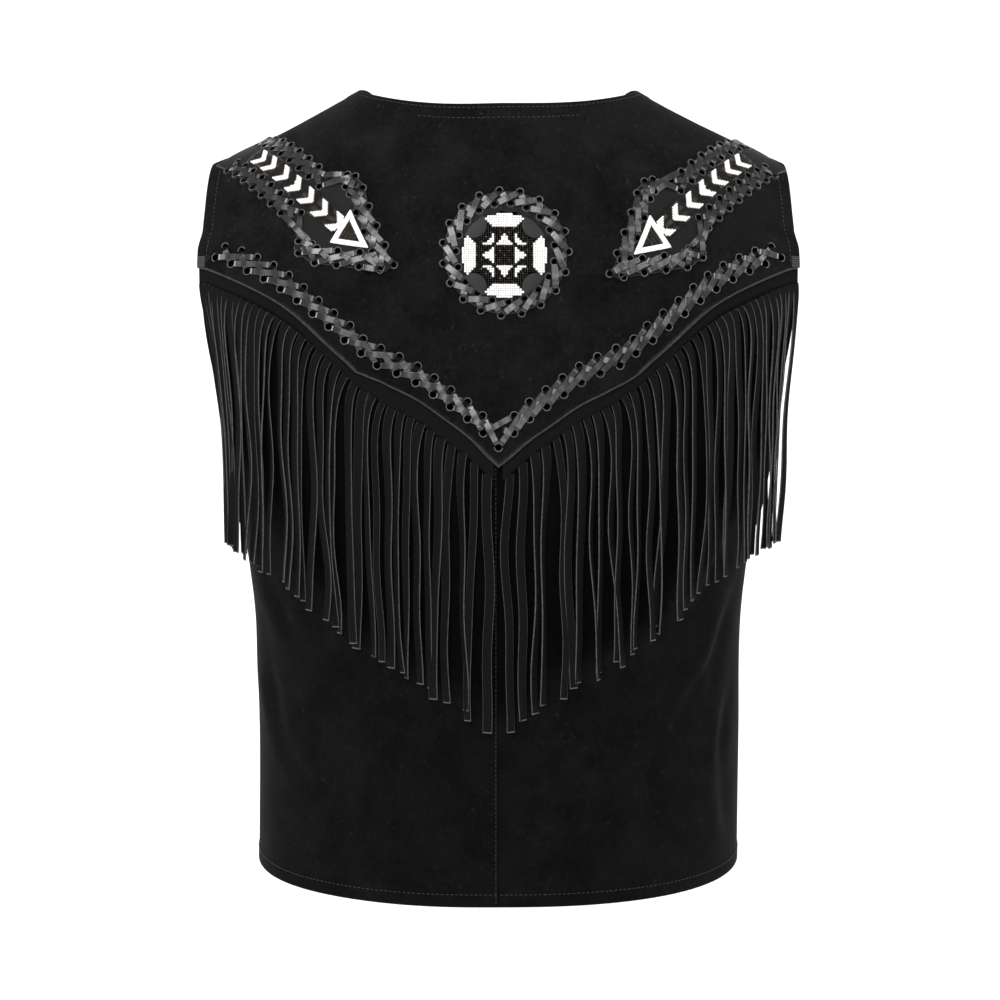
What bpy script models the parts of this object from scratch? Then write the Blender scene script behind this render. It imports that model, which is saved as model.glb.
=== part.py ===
"""Western vest: suede panels on an open, filled-out torso form, with fringe, lacing and applique.

The vest hangs on its shoulders. X runs across (plus is the wearer's right), minus Y is the back,
Z is up, and the origin lies midway between the shoulders at the height of the shoulder seams.
"""

import math

import bmesh
import bpy
import numpy as np
from mathutils import Vector
from mathutils.bvhtree import BVHTree
from mathutils.noise import noise

MM = 0.001

# Sides of the figure along Y
BACK = -1.0
FRONT = 1.0

# Heights of the torso tube: where the shoulder arch meets it, the armhole's foot and the hem
ARCH_FOOT_Z = -0.170
ARMHOLE_FOOT_Z = -0.300
HEM_Z = -0.560

# Cross-section of the torso, a superellipse, and where round it the shoulder's armhole edge lies
RING_POWER = 2.3
SHOULDER_EDGE_AZIMUTH = math.radians(57.0)

# Ring sizes by level. Level -1 is the shoulder seam, 0 the foot of the arch and 1 the hem.
# Columns: level, half width
HALF_WIDTHS = (
    (-1.00, 0.2482),
    (-0.60, 0.2506),
    (-0.28, 0.2527),
    (0.000, 0.2430),
    (0.128, 0.2300),
    (0.231, 0.2125),
    (0.333, 0.1955),
    (0.438, 0.1890),
    (0.540, 0.1862),
    (0.720, 0.1860),
    (1.000, 0.1870),
)
# Columns: level, depth of the back, depth of the front
DEPTHS = (
    (-1.00, 0.118, 0.104),
    (-0.50, 0.120, 0.108),
    (0.000, 0.122, 0.112),
    (0.200, 0.130, 0.122),
    (0.460, 0.129, 0.119),
    (0.720, 0.129, 0.119),
    (1.000, 0.134, 0.126),
)

# Shoulder line: the crown under the neck opening, the neck point and the slope beyond it
NECK_HALF_WIDTH = 0.1040
NECK_POINT_Z = 0.028
CROWN_Z = 0.057
SHOULDER_SLOPE = 0.558
SHOULDER_EASE = 0.614

# Back neckline, as a share of the way round and the level of its lowest point
NECK_SHARE = 0.375
NECK_LEVEL = -0.632

# Lower edge of the yoke, a V
# Columns: share of the way round from the centre back, level
YOKE_EDGE = (
    (0.00, 0.165),
    (0.06, 0.121),
    (0.12, 0.091),
    (0.19, 0.058),
    (0.31, 0.017),
    (0.445, -0.060),
    (0.60, -0.170),
    (0.73, -0.236),
    (0.91, -0.308),
    (1.00, -0.333),
)

# Front edge: the V neck down to its foot, then straight to the hem
FRONT_EDGE_X = 0.012
V_NECK_FOOT_LEVEL = 0.36
V_NECK_BOW = 1.15

# Cloth
SUEDE = 1.3 * MM
SEAM_GAP = 0.4 * MM
LAYER_GAP = 0.5 * MM
STRIP_GAP = 0.8 * MM
STRIP_THICKNESS = 1.2 * MM
LAP_OFFSET = SUEDE + STRIP_GAP + STRIP_THICKNESS + LAYER_GAP
LAP_DEPTH = 12.0 * MM
LAP_RISE = 18.0 * MM

# Grid of the panels
BACK_COLUMNS = 16
YOKE_ROWS = 11
LOWER_ROWS = 8
FRONT_COLUMNS = 11
FRONT_ROWS = 14
TUBE_ROWS = 5
ARMHOLE_FOOT_LEVEL = (ARMHOLE_FOOT_Z - ARCH_FOOT_Z) / (HEM_Z - ARCH_FOOT_Z)

# Fringe
STRANDS_A_SIDE = 36
STRIP_LAP = 7.0 * MM
STRIP_SHOW = 11.0 * MM
FRINGE_LENGTH = 200.0 * MM
STRAND_SEGMENTS = 6
STRAND_SHARE = 0.78
STRAND_START_SHARE = 0.012
STRAND_END_SHARE = 0.985
STRAND_BEND = 13.0 * MM
STRAND_SPREAD = 1.8
STRAIGHT_SHARE = 0.22
LEAN_SHARE = 0.55
LEAN = 13.0 * MM
LEAN_REACH = 60.0 * MM
STRAND_SWAY = 1.3 * MM
STRAND_LIFT = 2.0 * MM
STRAND_RAGGED = 3.0 * MM
HANG_CLEARANCE = 2.0 * MM

# Lacing along the V
LACING_RISE = 21.0 * MM
LACING_HALF_WIDTH = 6.6 * MM
LACING_TOOTH = 1.6 * MM
LACING_LOW = 1.0 * MM
LACING_HIGH = 3.0 * MM
LACING_STATIONS_A_STITCH = 4
LACING_START_X = 0.8 * MM
LACING_STITCHES = 16

# Rosette
ROSETTE_SHARE = 0.012
ROSETTE_LEVEL = -0.250
ROSETTE_RADIUS = 49.0 * MM
ROSETTE_LOOPS = 20
ROSETTE_SAMPLES = 40
# Columns: radius as a share of the rosette's, height in mm, ripple of the lace in mm
ROSETTE_RINGS = (
    (0.12, 3.0, 0.0),
    (0.34, 3.0, 0.0),
    (0.58, 2.9, 0.0),
    (0.64, 1.9, 0.0),
    (0.70, 2.4, 0.6),
    (0.86, 2.6, 0.8),
    (1.00, 1.3, 0.0),
)
ROSETTE_SCALLOP = 0.03

# Arrows: the axis of each from its tip over its middle to its tail, as share and level
ARROW_AXIS_LEFT = (
    (0.242, -0.230),
    (0.500, -0.460),
    (0.855, -0.960),
)
ARROW_AXIS_RIGHT = (
    (0.260, -0.210),
    (0.490, -0.427),
    (0.865, -0.945),
)
ARROW_STATIONS = 31
ARROW_LOOP_STATIONS = 3
ARROW_TOOTH = 1.4 * MM
# Columns: share of the length from the tip, half width in mm
ARROW_OUTLINE = (
    (0.000, 5.0),
    (0.300, 36.0),
    (0.370, 36.0),
    (0.430, 28.5),
    (0.480, 24.0),
    (1.000, 23.5),
)
# Columns: share of the half width, height in mm, ripple of the lace in mm
ARROW_SECTION = (
    (-1.00, 1.1, 0.0),
    (-0.80, 2.4, 0.6),
    (-0.56, 1.8, 0.4),
    (-0.38, 2.7, 0.0),
    (0.00, 2.9, 0.0),
    (0.38, 2.7, 0.0),
    (0.56, 1.8, 0.4),
    (0.80, 2.4, 0.6),
    (1.00, 1.1, 0.0),
)


# Curves through the tables

def smooth_value(table, where, column=1):
    """Value of a table's column at a place between its rows, on a smooth curve through them."""
    if where <= table[0][0]:
        return table[0][column]
    if where >= table[-1][0]:
        return table[-1][column]
    last = len(table) - 1
    row = max(k for k in range(last) if table[k][0] <= where)

    def slope(k):
        low = table[max(k - 1, 0)]
        high = table[min(k + 1, last)]
        return (high[column] - low[column]) / (high[0] - low[0])

    start = table[row]
    end = table[row + 1]
    span = end[0] - start[0]
    t = (where - start[0]) / span
    value = (2.0 * t**3 - 3.0 * t**2 + 1.0) * start[column]
    value += (t**3 - 2.0 * t**2 + t) * span * slope(row)
    value += (3.0 * t**2 - 2.0 * t**3) * end[column]
    value += (t**3 - t**2) * span * slope(row + 1)
    return value


def straight_value(table, where, column=1):
    """Value of a table's column between its rows, on straight lines."""
    places = [row[0] for row in table]
    values = [row[column] for row in table]
    return float(np.interp(where, places, values))


def bump(phase):
    """A wave from 0 to 1 and back over each whole turn of phase."""
    return 0.5 - 0.5 * math.cos(2.0 * math.pi * phase)


# The figure that every panel follows

def shoulder_z(x):
    """Height of the shoulder line above a place across the body."""
    across = abs(x)
    if across < NECK_HALF_WIDTH:
        return CROWN_Z - (CROWN_Z - NECK_POINT_Z) * (across / NECK_HALF_WIDTH) ** 2
    beyond = across - NECK_HALF_WIDTH
    return NECK_POINT_Z - SHOULDER_SLOPE * beyond + SHOULDER_EASE * beyond**2


def edge_azimuth(level):
    """How far round the ring the armhole edge lies, or the side seam below the armhole."""
    if level <= 0.0:
        return SHOULDER_EDGE_AZIMUTH
    drop = level * (HEM_Z - ARCH_FOOT_Z) / (ARMHOLE_FOOT_Z - ARCH_FOOT_Z)
    if drop >= 1.0:
        return math.pi / 2.0
    oval = math.sqrt(1.0 - drop**2)
    return math.acos(math.cos(SHOULDER_EDGE_AZIMUTH) * oval ** (RING_POWER / 2.0))


def figure_at(azimuth, level, side):
    """Point of the figure at an azimuth from the centre line and a level."""
    sine = math.sin(azimuth)
    cosine = max(math.cos(azimuth), 0.0)
    x = smooth_value(HALF_WIDTHS, level) * math.copysign(abs(sine) ** (2.0 / RING_POWER), sine)
    column = 1 if side == BACK else 2
    depth = smooth_value(DEPTHS, level, column) * cosine ** (2.0 / RING_POWER)
    if level >= 0.0:
        return Vector((x, side * depth, ARCH_FOOT_Z + (HEM_Z - ARCH_FOOT_Z) * level))
    turn = math.pi / 2.0 * (1.0 + level)
    z = ARCH_FOOT_Z + (shoulder_z(x) - ARCH_FOOT_Z) * math.cos(turn)
    return Vector((x, side * depth * math.sin(turn), z))


def figure_normal(azimuth, level, side):
    """Outward direction of the figure there."""
    step = 1e-3
    around = figure_at(azimuth + step, level, side) - figure_at(azimuth - step, level, side)
    low = min(level + step, 1.0)
    high = max(level - step, -1.0)
    down = figure_at(azimuth, low, side) - figure_at(azimuth, high, side)
    normal = around.cross(down).normalized()
    return normal if side == FRONT else -normal


def cloth_point(share, level, side, offset):
    """Point of a cloth layer: a share of the way round to its edge, moved out from its inner side.

    The outer face of a single layer of suede is the figure itself.
    """
    azimuth = edge_azimuth(level) * share
    point = figure_at(azimuth, level, side)
    point = point + figure_normal(azimuth, level, side) * (offset - SUEDE)
    if side * point.y < SEAM_GAP / 2.0:
        point.y = side * SEAM_GAP / 2.0
    return point


def lowered(share, level, side, distance):
    """Level reached by going down the cloth by a distance."""
    step = 1e-3
    here = figure_at(edge_azimuth(level) * share, level, side)
    below = figure_at(edge_azimuth(level + step) * share, level + step, side)
    return level + distance * step / (below - here).length


def neck_level(share):
    """Level of the yoke's upper edge: the back neckline, then the shoulder seam."""
    across = abs(share) / NECK_SHARE
    if across >= 1.0:
        return -1.0
    return -1.0 + (NECK_LEVEL + 1.0) * math.sqrt(1.0 - across**2)


def yoke_edge_level(share):
    """Level of the V at a share of the way round."""
    return smooth_value(YOKE_EDGE, abs(share))


# Meshes

def add_object(name, points, faces, material, collection):
    """One closed solid from points and faces, with its faces turned outward."""
    mesh = bpy.data.meshes.new(name)
    mesh.from_pydata([tuple(point) for point in points], [], faces)
    solid = bmesh.new()
    solid.from_mesh(mesh)
    bmesh.ops.recalc_face_normals(solid, faces=solid.faces[:])
    solid.to_mesh(mesh)
    solid.free()
    mesh.materials.append(material)
    piece = bpy.data.objects.new(name, mesh)
    collection.objects.link(piece)
    return piece


def split_quad(a, b, c, d):
    """Two triangles that fill a quad."""
    return [(a, b, c), (a, c, d)]


def sheet_solid(outer, inner):
    """Points and faces of a sheet with two faces and a rim, from two equal grids of points."""
    rows = len(outer)
    columns = len(outer[0])
    points = [point for row in outer for point in row]
    points += [point for row in inner for point in row]
    under = rows * columns
    faces = []
    for i in range(rows - 1):
        for j in range(columns - 1):
            a = i * columns + j
            quad = (a, a + 1, a + columns + 1, a + columns)
            faces += split_quad(*quad)
            faces += split_quad(*(k + under for k in quad))
    border = [(0, j) for j in range(columns)]
    border += [(i, columns - 1) for i in range(1, rows)]
    border += [(rows - 1, j) for j in range(columns - 2, -1, -1)]
    border += [(i, 0) for i in range(rows - 2, 0, -1)]
    ring = [i * columns + j for i, j in border]
    for a, b in zip(ring, ring[1:] + ring[:1]):
        faces += split_quad(a, b, b + under, a + under)
    return points, faces


def make_material(name, colour, roughness):
    """A plain surface material."""
    material = bpy.data.materials.new(name)
    material.use_nodes = True
    shader = material.node_tree.nodes["Principled BSDF"]
    shader.inputs["Base Color"].default_value = (*colour, 1.0)
    shader.inputs["Roughness"].default_value = roughness
    return material


# Panels

def levels_to_hem(start, rows):
    """Levels from a start to the armhole's foot, closer together there, and on to the hem."""
    reach = ARMHOLE_FOOT_LEVEL - start
    levels = [start + reach * math.sin(math.pi / 2.0 * k / rows) for k in range(rows + 1)]
    reach = 1.0 - ARMHOLE_FOOT_LEVEL
    return levels + [ARMHOLE_FOOT_LEVEL + reach * k / TUBE_ROWS for k in range(1, TUBE_ROWS + 1)]


def yoke_columns(share):
    """Levels and inner offsets down one column of the yoke."""
    top = neck_level(share)
    edge = yoke_edge_level(share)
    lap = lowered(share, edge, BACK, -LAP_DEPTH)
    middle = lowered(share, edge, BACK, -LAP_DEPTH - LAP_RISE / 2.0)
    start = lowered(share, edge, BACK, -LAP_DEPTH - LAP_RISE)
    rows = [(top + (start - top) * k / YOKE_ROWS, 0.0) for k in range(YOKE_ROWS + 1)]
    rows += [(middle, LAP_OFFSET / 2.0), (lap, LAP_OFFSET), (edge, LAP_OFFSET)]
    return rows


def yoke_grid(extra):
    """Grid of yoke points, moved out from its inner face by an extra offset."""
    shares = [j / BACK_COLUMNS for j in range(-BACK_COLUMNS, BACK_COLUMNS + 1)]
    columns = []
    for share in shares:
        column = [cloth_point(share, level, BACK, offset + extra) for level, offset in yoke_columns(share)]
        columns.append(column)
    return [list(row) for row in zip(*columns)]


def build_yoke(material, collection):
    """The back yoke over both shoulders, raised over the layers under its V edge."""
    outer = yoke_grid(SUEDE)
    inner = yoke_grid(0.0)
    points, faces = sheet_solid(outer, inner)
    return add_object("back_yoke", points, faces, material, collection)


def lower_back_levels(share):
    """Levels down one column of a lower back, from under the yoke to the hem."""
    edge = yoke_edge_level(share)
    top = lowered(share, edge, BACK, -LAP_DEPTH * 0.8)
    show = lowered(share, edge, BACK, STRIP_SHOW)
    return [top, edge] + levels_to_hem(show, LOWER_ROWS)


def build_lower_back(name, hand, material, collection):
    """One lower back, from the centre seam to the armhole edge and the side seam."""
    grids = []
    for offset in (SUEDE, 0.0):
        columns = []
        for j in range(BACK_COLUMNS + 1):
            share = j / BACK_COLUMNS
            column = [cloth_point(share, level, BACK, offset) for level in lower_back_levels(share)]
            for point in column:
                point.x = hand * max(point.x, SEAM_GAP / 2.0)
            columns.append(column)
        grids.append([list(row) for row in zip(*columns)])
    points, faces = sheet_solid(*grids)
    return add_object(name, points, faces, material, collection)


def front_inner_x(level):
    """Distance of the front's edge from the centre line."""
    way = (level + 1.0) / (V_NECK_FOOT_LEVEL + 1.0)
    if way >= 1.0:
        return FRONT_EDGE_X
    neck_x = figure_at(SHOULDER_EDGE_AZIMUTH * NECK_SHARE, -1.0, FRONT).x
    return FRONT_EDGE_X + (neck_x - FRONT_EDGE_X) * (1.0 - way**V_NECK_BOW)


def build_front(name, hand, material, collection):
    """One front, from the shoulder seam to the hem, with its V neck and straight edge."""
    grids = []
    for offset in (SUEDE, 0.0):
        rows = []
        for level in levels_to_hem(-1.0, FRONT_ROWS):
            ratio = front_inner_x(level) / smooth_value(HALF_WIDTHS, level)
            start = math.asin(ratio ** (RING_POWER / 2.0)) / edge_azimuth(level)
            row = []
            for j in range(FRONT_COLUMNS + 1):
                share = start + (1.0 - start) * j / FRONT_COLUMNS
                point = cloth_point(share, level, FRONT, offset)
                point.x = hand * point.x
                row.append(point)
            rows.append(row)
        grids.append(rows)
    points, faces = sheet_solid(*grids)
    return add_object(name, points, faces, material, collection)


# Fringe

def hanging_depth(x, z_top, z):
    """How far back the lower back reaches, at x, between a height and the strand's root."""
    deepest = 0.0
    for k in range(9):
        height = z_top + (z - z_top) * k / 8.0
        if height >= ARCH_FOOT_Z:
            level = 0.0
        else:
            level = (height - ARCH_FOOT_Z) / (HEM_Z - ARCH_FOOT_Z)
        ratio = abs(x) / smooth_value(HALF_WIDTHS, level)
        if ratio < 1.0:
            reach = smooth_value(DEPTHS, level) * (1.0 - ratio**RING_POWER) ** (1.0 / RING_POWER)
            deepest = max(deepest, reach)
    return deepest


def strand_rings(left, right, slant, lean, seed):
    """Rings of four points down one strand, from the two ends of its root in the strip.

    Slant is how much of the seam's own slope the strand keeps as it leaves the strip, and lean
    is how far it is drawn across as it hangs.
    """
    root = (left[0] + left[1] + right[0] + right[1]) / 4.0
    across = (right[0] - left[0]).normalized()
    outward = (left[0] - left[1]).normalized()
    down = across.cross(outward).normalized()
    if down.z > 0.0:
        down = -down
    down = Vector((0.0, 0.0, -1.0)).lerp(down, slant).normalized()
    width = (right[0] - left[0]).length
    length = FRINGE_LENGTH - STRIP_SHOW - STRAND_RAGGED * (0.5 + noise(Vector((seed, 7.3, 0.0))))
    sway = STRAND_SWAY * noise(Vector((seed, 1.7, 0.0)))
    lift = STRAND_LIFT * (0.5 + noise(Vector((seed, 4.1, 0.0))))
    flat = Vector((outward.x, outward.y, 0.0)).normalized()
    hung_across = Vector((-flat.y, flat.x, 0.0))
    if hung_across.dot(across) < 0.0:
        hung_across = -hung_across
    rings = []
    place = root.copy()
    for k in range(1, STRAND_SEGMENTS + 1):
        gone = length * (k / STRAND_SEGMENTS) ** STRAND_SPREAD
        before = length * ((k - 1) / STRAND_SEGMENTS) ** STRAND_SPREAD
        settle = 1.0 - math.exp(-gone / STRAND_BEND)
        path = down.lerp(Vector((0.0, 0.0, -1.0)), settle).normalized()
        place = place + path * (gone - before)
        way = gone / length
        spot = place + hung_across * sway * way
        spot.x = spot.x + lean * (1.0 - math.exp(-gone / LEAN_REACH))
        depth = hanging_depth(spot.x, root.z, spot.z) + STRIP_GAP + STRIP_THICKNESS / 2.0
        place.y = min(place.y, -depth - HANG_CLEARANCE * settle)
        spot.y = place.y
        spot = spot + flat * lift * way**2
        side_way = across.lerp(hung_across, settle).normalized()
        out_way = outward.lerp(flat, settle).normalized()
        half = side_way * width / 2.0
        deep = out_way * STRIP_THICKNESS / 2.0
        rings.append((spot - half + deep, spot - half - deep, spot + half - deep, spot + half + deep))
    return rings


def build_fringe(name, hand, material, collection):
    """A strip caught under the yoke's edge, cut below into strands that hang straight."""
    inner = SUEDE + STRIP_GAP
    outer = inner + STRIP_THICKNESS
    pitch = (STRAND_END_SHARE - STRAND_START_SHARE) / STRANDS_A_SIDE
    shares = []
    for k in range(STRANDS_A_SIDE):
        start = STRAND_START_SHARE + pitch * (k + (1.0 - STRAND_SHARE) / 2.0)
        shares += [start, start + pitch * STRAND_SHARE]
    points = []
    for distance in (-STRIP_LAP, STRIP_SHOW):
        for offset in (outer, inner):
            for share in shares:
                level = lowered(share, yoke_edge_level(share), BACK, distance)
                point = cloth_point(share, level, BACK, offset)
                point.x = hand * point.x
                points.append(point)
    count = len(shares)
    top_out, top_in, low_out, low_in = (count * k for k in range(4))
    faces = []
    for j in range(count - 1):
        faces += split_quad(top_out + j, top_out + j + 1, low_out + j + 1, low_out + j)
        faces += split_quad(top_in + j, top_in + j + 1, low_in + j + 1, low_in + j)
        faces += split_quad(top_out + j, top_out + j + 1, top_in + j + 1, top_in + j)
        if j % 2 == 1:
            faces += split_quad(low_out + j, low_out + j + 1, low_in + j + 1, low_in + j)
    for j in (0, count - 1):
        faces += split_quad(top_out + j, low_out + j, low_in + j, top_in + j)
    for k in range(STRANDS_A_SIDE):
        a = 2 * k
        ring = [low_out + a, low_in + a, low_in + a + 1, low_out + a + 1]
        ends = [points[index] for index in ring]
        slant = min(shares[a] / STRAIGHT_SHARE, 1.0)
        lean = -hand * LEAN * max((shares[a] - LEAN_SHARE) / (1.0 - LEAN_SHARE), 0.0) ** 2
        for spots in strand_rings(ends[0:2], (ends[3], ends[2]), slant, lean, 3.1 * k + hand):
            base = len(points)
            points += list(spots)
            fresh = [base, base + 1, base + 2, base + 3]
            for m in range(4):
                n = (m + 1) % 4
                faces += split_quad(ring[m], ring[n], fresh[n], fresh[m])
            ring = fresh
        faces += split_quad(*ring)
    return add_object(name, points, faces, material, collection)


# What lies on the yoke

def yoke_skin():
    """Search tree of the yoke's outer face."""
    grid = yoke_grid(SUEDE)
    columns = len(grid[0])
    points = [point for row in grid for point in row]
    faces = []
    for i in range(len(grid) - 1):
        for j in range(columns - 1):
            a = i * columns + j
            faces += split_quad(a, a + 1, a + columns + 1, a + columns)
    return BVHTree.FromPolygons(points, faces)


def laid(skin, place, outward, height):
    """Point on the yoke under a place, moved out by a height."""
    reach = 60.0 * MM
    spot = skin.ray_cast(place + outward * reach, -outward)[0]
    if spot is None:
        spot = skin.find_nearest(place)[0]
    return spot + outward * height


def path_frames(track):
    """Direction along, across and outward at each point of a track of (point, outward) pairs."""
    frames = []
    for k, (place, outward) in enumerate(track):
        before = track[max(k - 1, 0)][0]
        after = track[min(k + 1, len(track) - 1)][0]
        along = (after - before).normalized()
        across = outward.cross(along).normalized()
        frames.append((place, along, across, outward))
    return frames


def even_track(share_level, count):
    """Points at equal distances along a curve given as share and level, with the way out there."""
    fine = 240
    spots = []
    for k in range(fine + 1):
        share, level = share_level(k / fine)
        azimuth = edge_azimuth(level) * share
        spots.append((figure_at(azimuth, level, BACK), figure_normal(azimuth, level, BACK)))
    lengths = [0.0]
    for (a, _), (b, _) in zip(spots, spots[1:]):
        lengths.append(lengths[-1] + (b - a).length)
    track = []
    for k in range(count + 1):
        goal = lengths[-1] * k / count
        index = min(int(np.searchsorted(lengths, goal)), fine)
        index = max(index, 1)
        part = (goal - lengths[index - 1]) / (lengths[index] - lengths[index - 1])
        place = spots[index - 1][0].lerp(spots[index][0], part)
        outward = spots[index - 1][1].lerp(spots[index][1], part).normalized()
        track.append((place, outward))
    return track


def mirrored(grid, hand):
    """The grid on the wanted side of the body."""
    return [[Vector((hand * point.x, point.y, point.z)) for point in row] for row in grid]


def build_lacing(name, hand, skin, material, collection):
    """The flat lace woven along one arm of the V, as a raised braid with a toothed outline."""
    last_share = 0.90

    def course(way):
        share = 0.004 + (last_share - 0.004) * way
        return share, lowered(share, yoke_edge_level(share), BACK, -LACING_RISE)

    count = LACING_STITCHES * LACING_STATIONS_A_STITCH
    outer = []
    inner = []
    for k, (place, _, across, outward) in enumerate(path_frames(even_track(course, count))):
        phase = k / LACING_STATIONS_A_STITCH
        high_row = []
        low_row = []
        for m in range(-2, 3):
            part = m / 2.0
            reach = LACING_HALF_WIDTH + LACING_TOOTH * bump(phase + 0.25 * math.copysign(1.0, part))
            spot = place + across * part * reach
            spot.x = max(spot.x, LACING_START_X)
            rise = LACING_LOW if abs(m) == 2 else LACING_LOW + (LACING_HIGH - LACING_LOW) * bump(phase + part * 0.5)
            high_row.append(laid(skin, spot, outward, LAYER_GAP + rise))
            low_row.append(laid(skin, spot, outward, LAYER_GAP))
        outer.append(high_row)
        inner.append(low_row)
    points, faces = sheet_solid(mirrored(outer, hand), mirrored(inner, hand))
    return add_object(name, points, faces, material, collection)


def build_arrow(name, hand, axis, skin, material, collection):
    """A leather arrowhead with its shaft, its laced rim and beaded middle raised."""
    tip, middle, tail = axis

    def course(way):
        first = 2.0 * (way - 0.5) * (way - 1.0)
        second = 4.0 * way * (1.0 - way)
        third = 2.0 * way * (way - 0.5)
        return tuple(first * a + second * b + third * c for a, b, c in zip(tip, middle, tail))

    outer = []
    inner = []
    for k, (place, _, across, outward) in enumerate(path_frames(even_track(course, ARROW_STATIONS))):
        half = straight_value(ARROW_OUTLINE, k / ARROW_STATIONS) * MM
        phase = k / ARROW_LOOP_STATIONS
        high_row = []
        low_row = []
        for part, height, ripple in ARROW_SECTION:
            tooth = ARROW_TOOTH * bump(phase) if abs(part) > 0.99 else 0.0
            spot = place + across * (part * half + math.copysign(tooth, part))
            rise = (height + ripple * (2.0 * bump(phase + part) - 1.0)) * MM
            high_row.append(laid(skin, spot, outward, LAYER_GAP + rise))
            low_row.append(laid(skin, spot, outward, LAYER_GAP))
        outer.append(high_row)
        inner.append(low_row)
    points, faces = sheet_solid(mirrored(outer, hand), mirrored(inner, hand))
    return add_object(name, points, faces, material, collection)


def build_rosette(skin, material, collection):
    """The round beaded medallion in its ring of lace, with a scalloped rim."""
    azimuth = edge_azimuth(ROSETTE_LEVEL) * ROSETTE_SHARE
    centre = figure_at(azimuth, ROSETTE_LEVEL, BACK)
    outward = figure_normal(azimuth, ROSETTE_LEVEL, BACK)
    across = Vector((1.0, 0.0, 0.0))
    up = across.cross(outward).normalized()
    if up.z < 0.0:
        up = -up
    points = [laid(skin, centre, outward, LAYER_GAP + ROSETTE_RINGS[0][1] * MM)]
    points.append(laid(skin, centre, outward, LAYER_GAP))
    faces = []
    rings = []
    for under in (False, True):
        for share, height, ripple in ROSETTE_RINGS:
            ring = []
            for k in range(ROSETTE_SAMPLES):
                turn = 2.0 * math.pi * k / ROSETTE_SAMPLES
                phase = k * ROSETTE_LOOPS / ROSETTE_SAMPLES
                radius = ROSETTE_RADIUS * share
                if share == 1.0:
                    radius = radius * (1.0 + ROSETTE_SCALLOP * (2.0 * bump(phase) - 1.0))
                place = centre + (across * math.cos(turn) + up * math.sin(turn)) * radius
                rise = 0.0 if under else (height + ripple * (2.0 * bump(phase + share) - 1.0)) * MM
                ring.append(len(points))
                points.append(laid(skin, place, outward, LAYER_GAP + rise))
            rings.append(ring)
    half = len(ROSETTE_RINGS)
    for base, hub in ((0, 0), (half, 1)):
        first = rings[base]
        for a, b in zip(first, first[1:] + first[:1]):
            faces.append((hub, a, b))
        for low, high in zip(rings[base : base + half - 1], rings[base + 1 : base + half]):
            for a, b, c, d in zip(low, low[1:] + low[:1], high[1:] + high[:1], high):
                faces += split_quad(a, b, c, d)
    rim_out = rings[half - 1]
    rim_in = rings[2 * half - 1]
    for a, b, c, d in zip(rim_out, rim_out[1:] + rim_out[:1], rim_in[1:] + rim_in[:1], rim_in):
        faces += split_quad(a, b, c, d)
    return add_object("rosette", points, faces, material, collection)


def clear_scene():
    """Start from an empty scene."""
    for thing in list(bpy.data.objects):
        bpy.data.objects.remove(thing, do_unlink=True)


def main():
    """Build every piece of the vest."""
    clear_scene()
    collection = bpy.data.collections.new("western_vest")
    bpy.context.scene.collection.children.link(collection)
    skin = yoke_skin()
    black = (0.010, 0.010, 0.011)

    build_yoke(make_material("yoke_suede", black, 0.95), collection)
    for word, hand, axis in (("left", -1.0, ARROW_AXIS_LEFT), ("right", 1.0, ARROW_AXIS_RIGHT)):
        panel = make_material(f"panel_suede_{word}", black, 0.95)
        cut = make_material(f"fringe_suede_{word}", (0.014, 0.014, 0.015), 0.9)
        lace = make_material(f"lace_{word}", (0.012, 0.012, 0.012), 0.35)
        arrow = make_material(f"arrow_applique_{word}", (0.020, 0.020, 0.020), 0.5)
        build_lower_back(f"back_{word}", hand, panel, collection)
        build_front(f"front_{word}", hand, panel, collection)
        build_fringe(f"fringe_{word}", hand, cut, collection)
        build_lacing(f"lacing_{word}", hand, skin, lace, collection)
        build_arrow(f"arrow_{word}", hand, axis, skin, arrow, collection)
    build_rosette(skin, make_material("rosette_applique", (0.05, 0.05, 0.05), 0.4), collection)


main()
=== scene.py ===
"""Looks of the western vest: suede panels with turned edges, fringe, woven lace and beadwork."""

import logging
import math
from collections.abc import Callable, Sequence
from dataclasses import dataclass, field
from enum import Enum

import bpy
import numpy as np
from bpy.types import Material, Mesh, Node, NodeSocket, NodeTree, Object
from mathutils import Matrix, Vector
from mathutils.bvhtree import BVHTree
from mathutils.kdtree import KDTree

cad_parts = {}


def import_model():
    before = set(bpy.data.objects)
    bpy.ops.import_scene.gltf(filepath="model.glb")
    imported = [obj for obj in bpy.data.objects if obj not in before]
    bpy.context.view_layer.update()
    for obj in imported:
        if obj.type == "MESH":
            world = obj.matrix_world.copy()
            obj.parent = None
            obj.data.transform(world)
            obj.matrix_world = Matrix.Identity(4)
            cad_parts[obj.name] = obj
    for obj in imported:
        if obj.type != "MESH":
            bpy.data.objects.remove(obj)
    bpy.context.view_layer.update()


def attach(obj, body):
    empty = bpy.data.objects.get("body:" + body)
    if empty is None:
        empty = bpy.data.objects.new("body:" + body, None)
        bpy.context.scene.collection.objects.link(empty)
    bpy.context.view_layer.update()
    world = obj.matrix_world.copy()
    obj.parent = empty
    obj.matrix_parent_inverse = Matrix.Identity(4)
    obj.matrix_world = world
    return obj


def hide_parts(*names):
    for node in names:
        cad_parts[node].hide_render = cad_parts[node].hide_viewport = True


LOG = logging.getLogger("western_vest")
MM = 0.001
BODY = "root"
CRISP = 38.0

Array = np.ndarray
Table = Sequence[Sequence[float]]
Choice = Callable[[Array], Array]
Wired = Node | NodeSocket
Pair = tuple[float, float]


class Side(Enum):
    """Which half of the body a panel covers, as its sign along Y."""

    BACK = -1.0
    FRONT = 1.0


class Hand(Enum):
    """Left or right of the vest as its back is seen, as the sign along X."""

    LEFT = -1.0
    RIGHT = 1.0

    @property
    def word(self) -> str:
        """Name used in the pieces."""
        return self.name.lower()


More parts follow.
